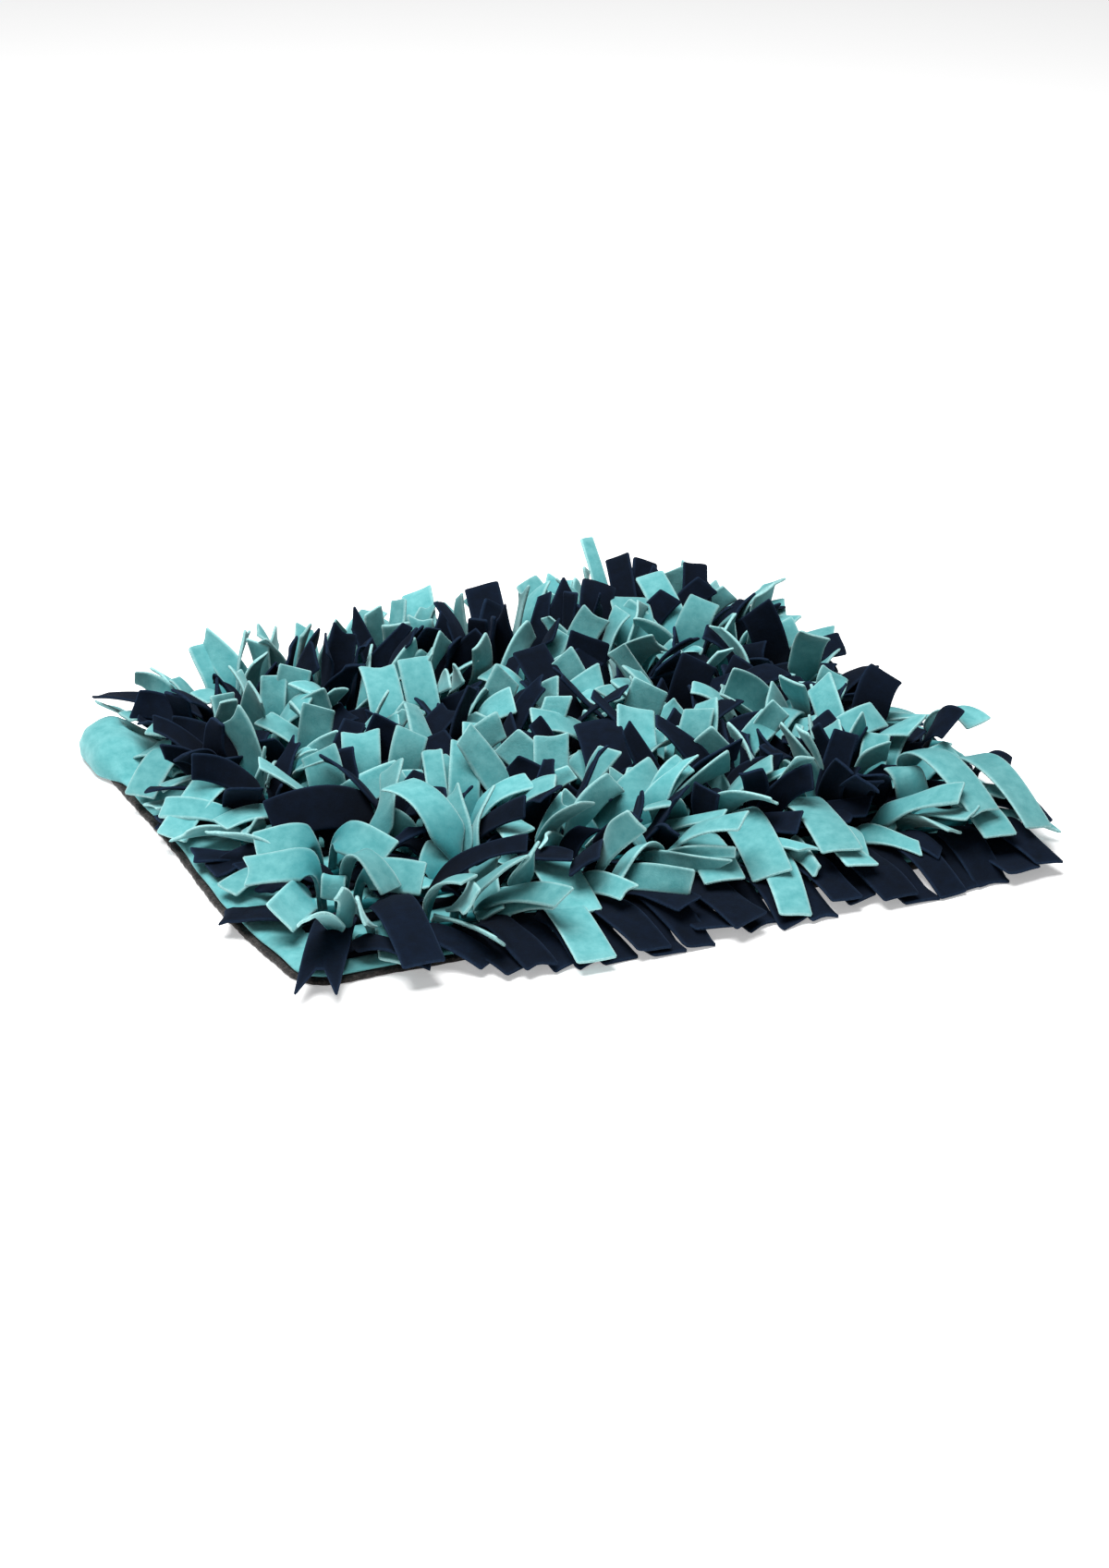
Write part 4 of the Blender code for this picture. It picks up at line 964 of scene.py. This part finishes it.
def strip_mesh(shape, look):
    """The fine form of a strip: its points ring by ring, the painted highlight at each by how near
    it is to a cut edge, the painted shade at each by how near it is to the root, and its faces."""
    root, tip = np.array(shape["root"]), np.array(shape["tip"])
    pull = root + (tip - root) * (shape["knee"], shape["knee"], 0)
    pull[2] = shape["crest"]
    level, bend = np.array(shape["level"]), shape["bend"]
    length = np.linalg.norm(pull - root) + np.linalg.norm(tip - pull)
    cup_sign = look.choice((-1, 1))
    cup_tip = look.uniform(*CUP_TIP)
    curl, bow_phase = look.uniform(-CURL, CURL) * MM, look.uniform(0, FULL_TURN)
    flutter, flutter_phase = look.uniform(*FLUTTER) * MM, look.uniform(0, FULL_TURN)
    turns = look.uniform(*FLUTTER_TURNS)
    notch = look.uniform(*NOTCH) * MM if look.random() < NOTCHED else 0
    notch = shape.get("notch", notch)
    rounding, closing = [1 - distance / length for distance in END_RINGS]
    shares = [rounding * i / (RINGS - 3) for i in range(RINGS - 2)] + [closing, 1]
    rings, edge_highlights, root_shades = [], [], []
    for index, s in enumerate(shares):
        point = arch_point(root, pull, tip, s, bend)
        along = (pull * (1 - 2 * s) + tip * s) * bend - root * (1 - s)
        along = along - point * (1 - s) * (bend - 1)
        along = along / np.linalg.norm(along)
        side = level - along * level.dot(along)
        side = side / np.linalg.norm(side)
        turn = shape["roll"] + shape["twist"] * s
        side = side * math.cos(turn) + np.cross(along, side) * math.sin(turn)
        normal = np.cross(along, side)
        spread = smooth_step((s - PINCH_END) / PINCH_SPREAD)
        width = PINCHED_WIDTH + (1 - PINCHED_WIDTH) * spread
        width = shape["width"] * width * narrowing(shape, s)
        width -= 2 * CORNER_ROUND * smooth_step(1 - (1 - s) * length / CORNER_ROUND)
        thick = CLOTH_THICK * (1 + PINCHED_THICK * (1 - spread))
        thick *= (1, *END_THICK)[max(index - (RINGS - 3), 0)]
        cup = cup_tip * (1 - CUP_FADES + CUP_FADES * math.cos(s * CUP_TURN))
        cup += CUP_ROOT * (1 - spread)
        bow = BOW_DEPTH * math.sin(s * BOW_TURN + bow_phase)
        bow += curl * max(s - CURL_FROM, 0) ** 2 * CURL_GROWTH
        near_tip = smooth_step((s - END_FROM) / END_SPREAD)
        skew, fork = shape["skew"] * near_tip, notch * near_tip
        wave = flutter * spread * math.sin(FULL_TURN * turns * s + flutter_phase)
        ring = []
        for face in (1, -1):
            for u in ACROSS[::face]:
                x, z = cupped(u, cup_sign * cup, width)
                half_thick, out = face * thick / 2, 0
                if abs(u) == 1:
                    half_thick, out = half_thick * SIDE_THICK, SIDE_ROUND * u
                offset = normal * (z + wave * u**3 + bow + half_thick) + side * (x + out)
                longer = skew * u + fork * (abs(u) - NOTCH_MIDDLE)
                ring.append(point + offset + along * longer)
                # Painted highlight: strongest at the cut sides and the cut end.
                from_cut = min((1 - abs(u)) * width / 2, (1 - s) * length)
                edge_highlights.append(smooth_step(1 - from_cut / EDGE_HIGHLIGHT_REACH))
        lift = max(ground(x, y) + OVER_GROUND - z for x, y, z in ring)
        rings.append(np.array(ring) + np.array((0, 0, max(lift, 0) if index > 1 else 0)))
        # Painted shade: deepest at the root, gone by SHADE_END of the length.
        root_shades += [ROOT_SHADE * smooth_step(1 - s / SHADE_END)] * len(ring)
    size = len(rings[0])
    faces = [*quads(size, RINGS), tuple(reversed(range(size)))]
    end, last = (RINGS - 1) * size, size - 1
    for step in range(len(ACROSS) - 1):
        faces.append((end + step, end + step + 1, end + last - step - 1, end + last - step))
    return np.concatenate(rings), edge_highlights, root_shades, faces


BAND_SECTION = (  # in half widths and thicknesses
    (-1, 0.15), (-1, 0.8), (-0.85, 1), (-0.3, 1), (0.3, 1),
    (0.85, 1), (1, 0.8), (1, 0.15), (0.8, 0), (-0.8, 0),
)
BAND_STEPS = 160
BAND_MARGIN = 6 * MM  # band left over beyond its last root
STITCH, PUCKER = 1.9 * MM, 0.12  # a stitch's length for each radian, and how deep it pulls
BAND_END = 0.7  # share of its section left at its ends


def band_mesh(row, places):
    """The narrow fleece band that carries a row, its top puckered by the stitches."""
    first = places[0]["x"] - ROOT_LENGTH / 2 - BAND_MARGIN
    last = places[-1]["x"] + ROOT_LENGTH / 2 + BAND_MARGIN
    points = []
    for step in range(BAND_STEPS + 1):
        x = first + (last - first) * step / BAND_STEPS
        pucker = 1 - PUCKER * (1 + math.sin(x / STITCH))
        closing = BAND_END if step in (0, BAND_STEPS) else 1
        for u, v in BAND_SECTION:
            y = row["y"] * MM + u * closing * BAND_WIDTH / 2
            points.append((x, y, BAND_BOTTOM + v * pucker * closing * BAND_THICK))
    size = len(BAND_SECTION)
    faces = [(a, d, c, b) for a, b, c, d in quads(size, BAND_STEPS + 1)]
    faces.append(tuple(range(size)))
    faces.append(tuple(reversed(range(BAND_STEPS * size, (BAND_STEPS + 1) * size))))
    # The whole band takes the full painted shade of a root, and no painted highlight.
    return np.array(points), [0.0] * len(points), [1.0] * len(points), faces


LOOK_SEED, TONES = 21, (0.76, 1.1)  # the lightness of each strip against its cloth's
look = random.Random(LOOK_SEED)
numbers = dict(mint=0, navy=0)
for row, places, row_shapes in zip(ROWS, rows, shapes):
    cloth = row["cloth"]
    numbers[cloth] += 1
    points, edge_highlights, root_shades, tones, faces = [], [], [], [], []
    held = [place for place in places if place["shape"]]
    for part in [band_mesh(row, held)] + [strip_mesh(shape, look) for shape in row_shapes]:
        part_points, part_edge_highlights, part_root_shades, part_faces = part
        faces += [tuple(i + len(tones) for i in face) for face in part_faces]
        points.append(part_points)
        edge_highlights += part_edge_highlights
        root_shades += part_root_shades
        tones += [look.uniform(*TONES)] * len(part_points)
    name = f"{cloth}_fleece_row_{numbers[cloth]}"
    piece = add_object(name, np.concatenate(points).tolist(), faces)
    # Painted highlight on the cut edges, painted shade near the roots, and each strip's own tone.
    for value, values in (("cut_edge_highlight", edge_highlights), ("painted_root_shade", root_shades), ("piece_tone", tones)):
        set_point_values(piece.data, value, values)
    piece.data.materials.append(mint_fleece if cloth == "mint" else navy_fleece)
    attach(piece, "root")
    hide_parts(f"{cloth}_row_{numbers[cloth]}")


# ------------------------------
# Studio: a pale floor that runs on past the frame, a large soft light overhead and a weaker one
# from the front left, and a long lens a little above the mat, at its front left corner.

FLOOR_HALF, FLOOR_DROP = 12.0, 0.3 * MM  # it lies just below the backing
sides = ((-1, -1), (1, -1), (1, 1), (-1, 1))
corners = [(x * FLOOR_HALF, y * FLOOR_HALF, 0) for x, y in sides]
floor = add_object("floor", corners, [(0, 1, 2, 3)])
floor.location.z = -FLOOR_DROP
paper, _, _ = new_material("white paper sweep", {
    "Base Color": linear("f8f8f8"), "Roughness": 0.9, "Specular IOR Level": 0.1,
    "Emission Color": linear("ffffff"), "Emission Strength": 0.36,
})
floor.data.materials.append(paper)

world = bpy.data.worlds.new("white studio")
world.use_nodes = True
background = world.node_tree.nodes["Background"]
background.inputs["Color"].default_value = linear("ffffff")
background.inputs["Strength"].default_value = 0.1
bpy.context.scene.world = world


def aim(name, data, place, back):
    """A light or the camera, at its place and turned away from this direction."""
    thing = bpy.data.objects.new(name, data)
    thing.location = place
    thing.rotation_euler = back.to_track_quat("Z", "Y").to_euler()
    bpy.context.scene.collection.objects.link(thing)
    return thing


def add_light(name, place, size, watts):
    """A square soft light aimed at the mat."""
    light = bpy.data.lights.new(name, "AREA")
    light.size = size
    light.energy = watts
    aim(name, light, place, Vector(place))


add_light("overhead softbox", (-0.35, 0.05, 1.9), size=1.4, watts=69)
add_light("front left softbox", (-1.5, -1.6, 1.3), size=1.0, watts=6)

AZIMUTH, ELEVATION, DISTANCE = math.radians(-24.84), math.radians(23.78), 2.664
LOOK_AT = Vector((-9.3, -27.5, 20)) * MM
LENS = 106.07  # in mm
level = math.cos(ELEVATION)
back = Vector((math.sin(AZIMUTH) * level, -math.cos(AZIMUTH) * level, math.sin(ELEVATION)))
camera = bpy.data.cameras.new("camera")
camera.lens = LENS
bpy.context.scene.camera = aim("camera", camera, LOOK_AT + back * DISTANCE, back)
bpy.context.scene.view_settings.view_transform = "Standard"
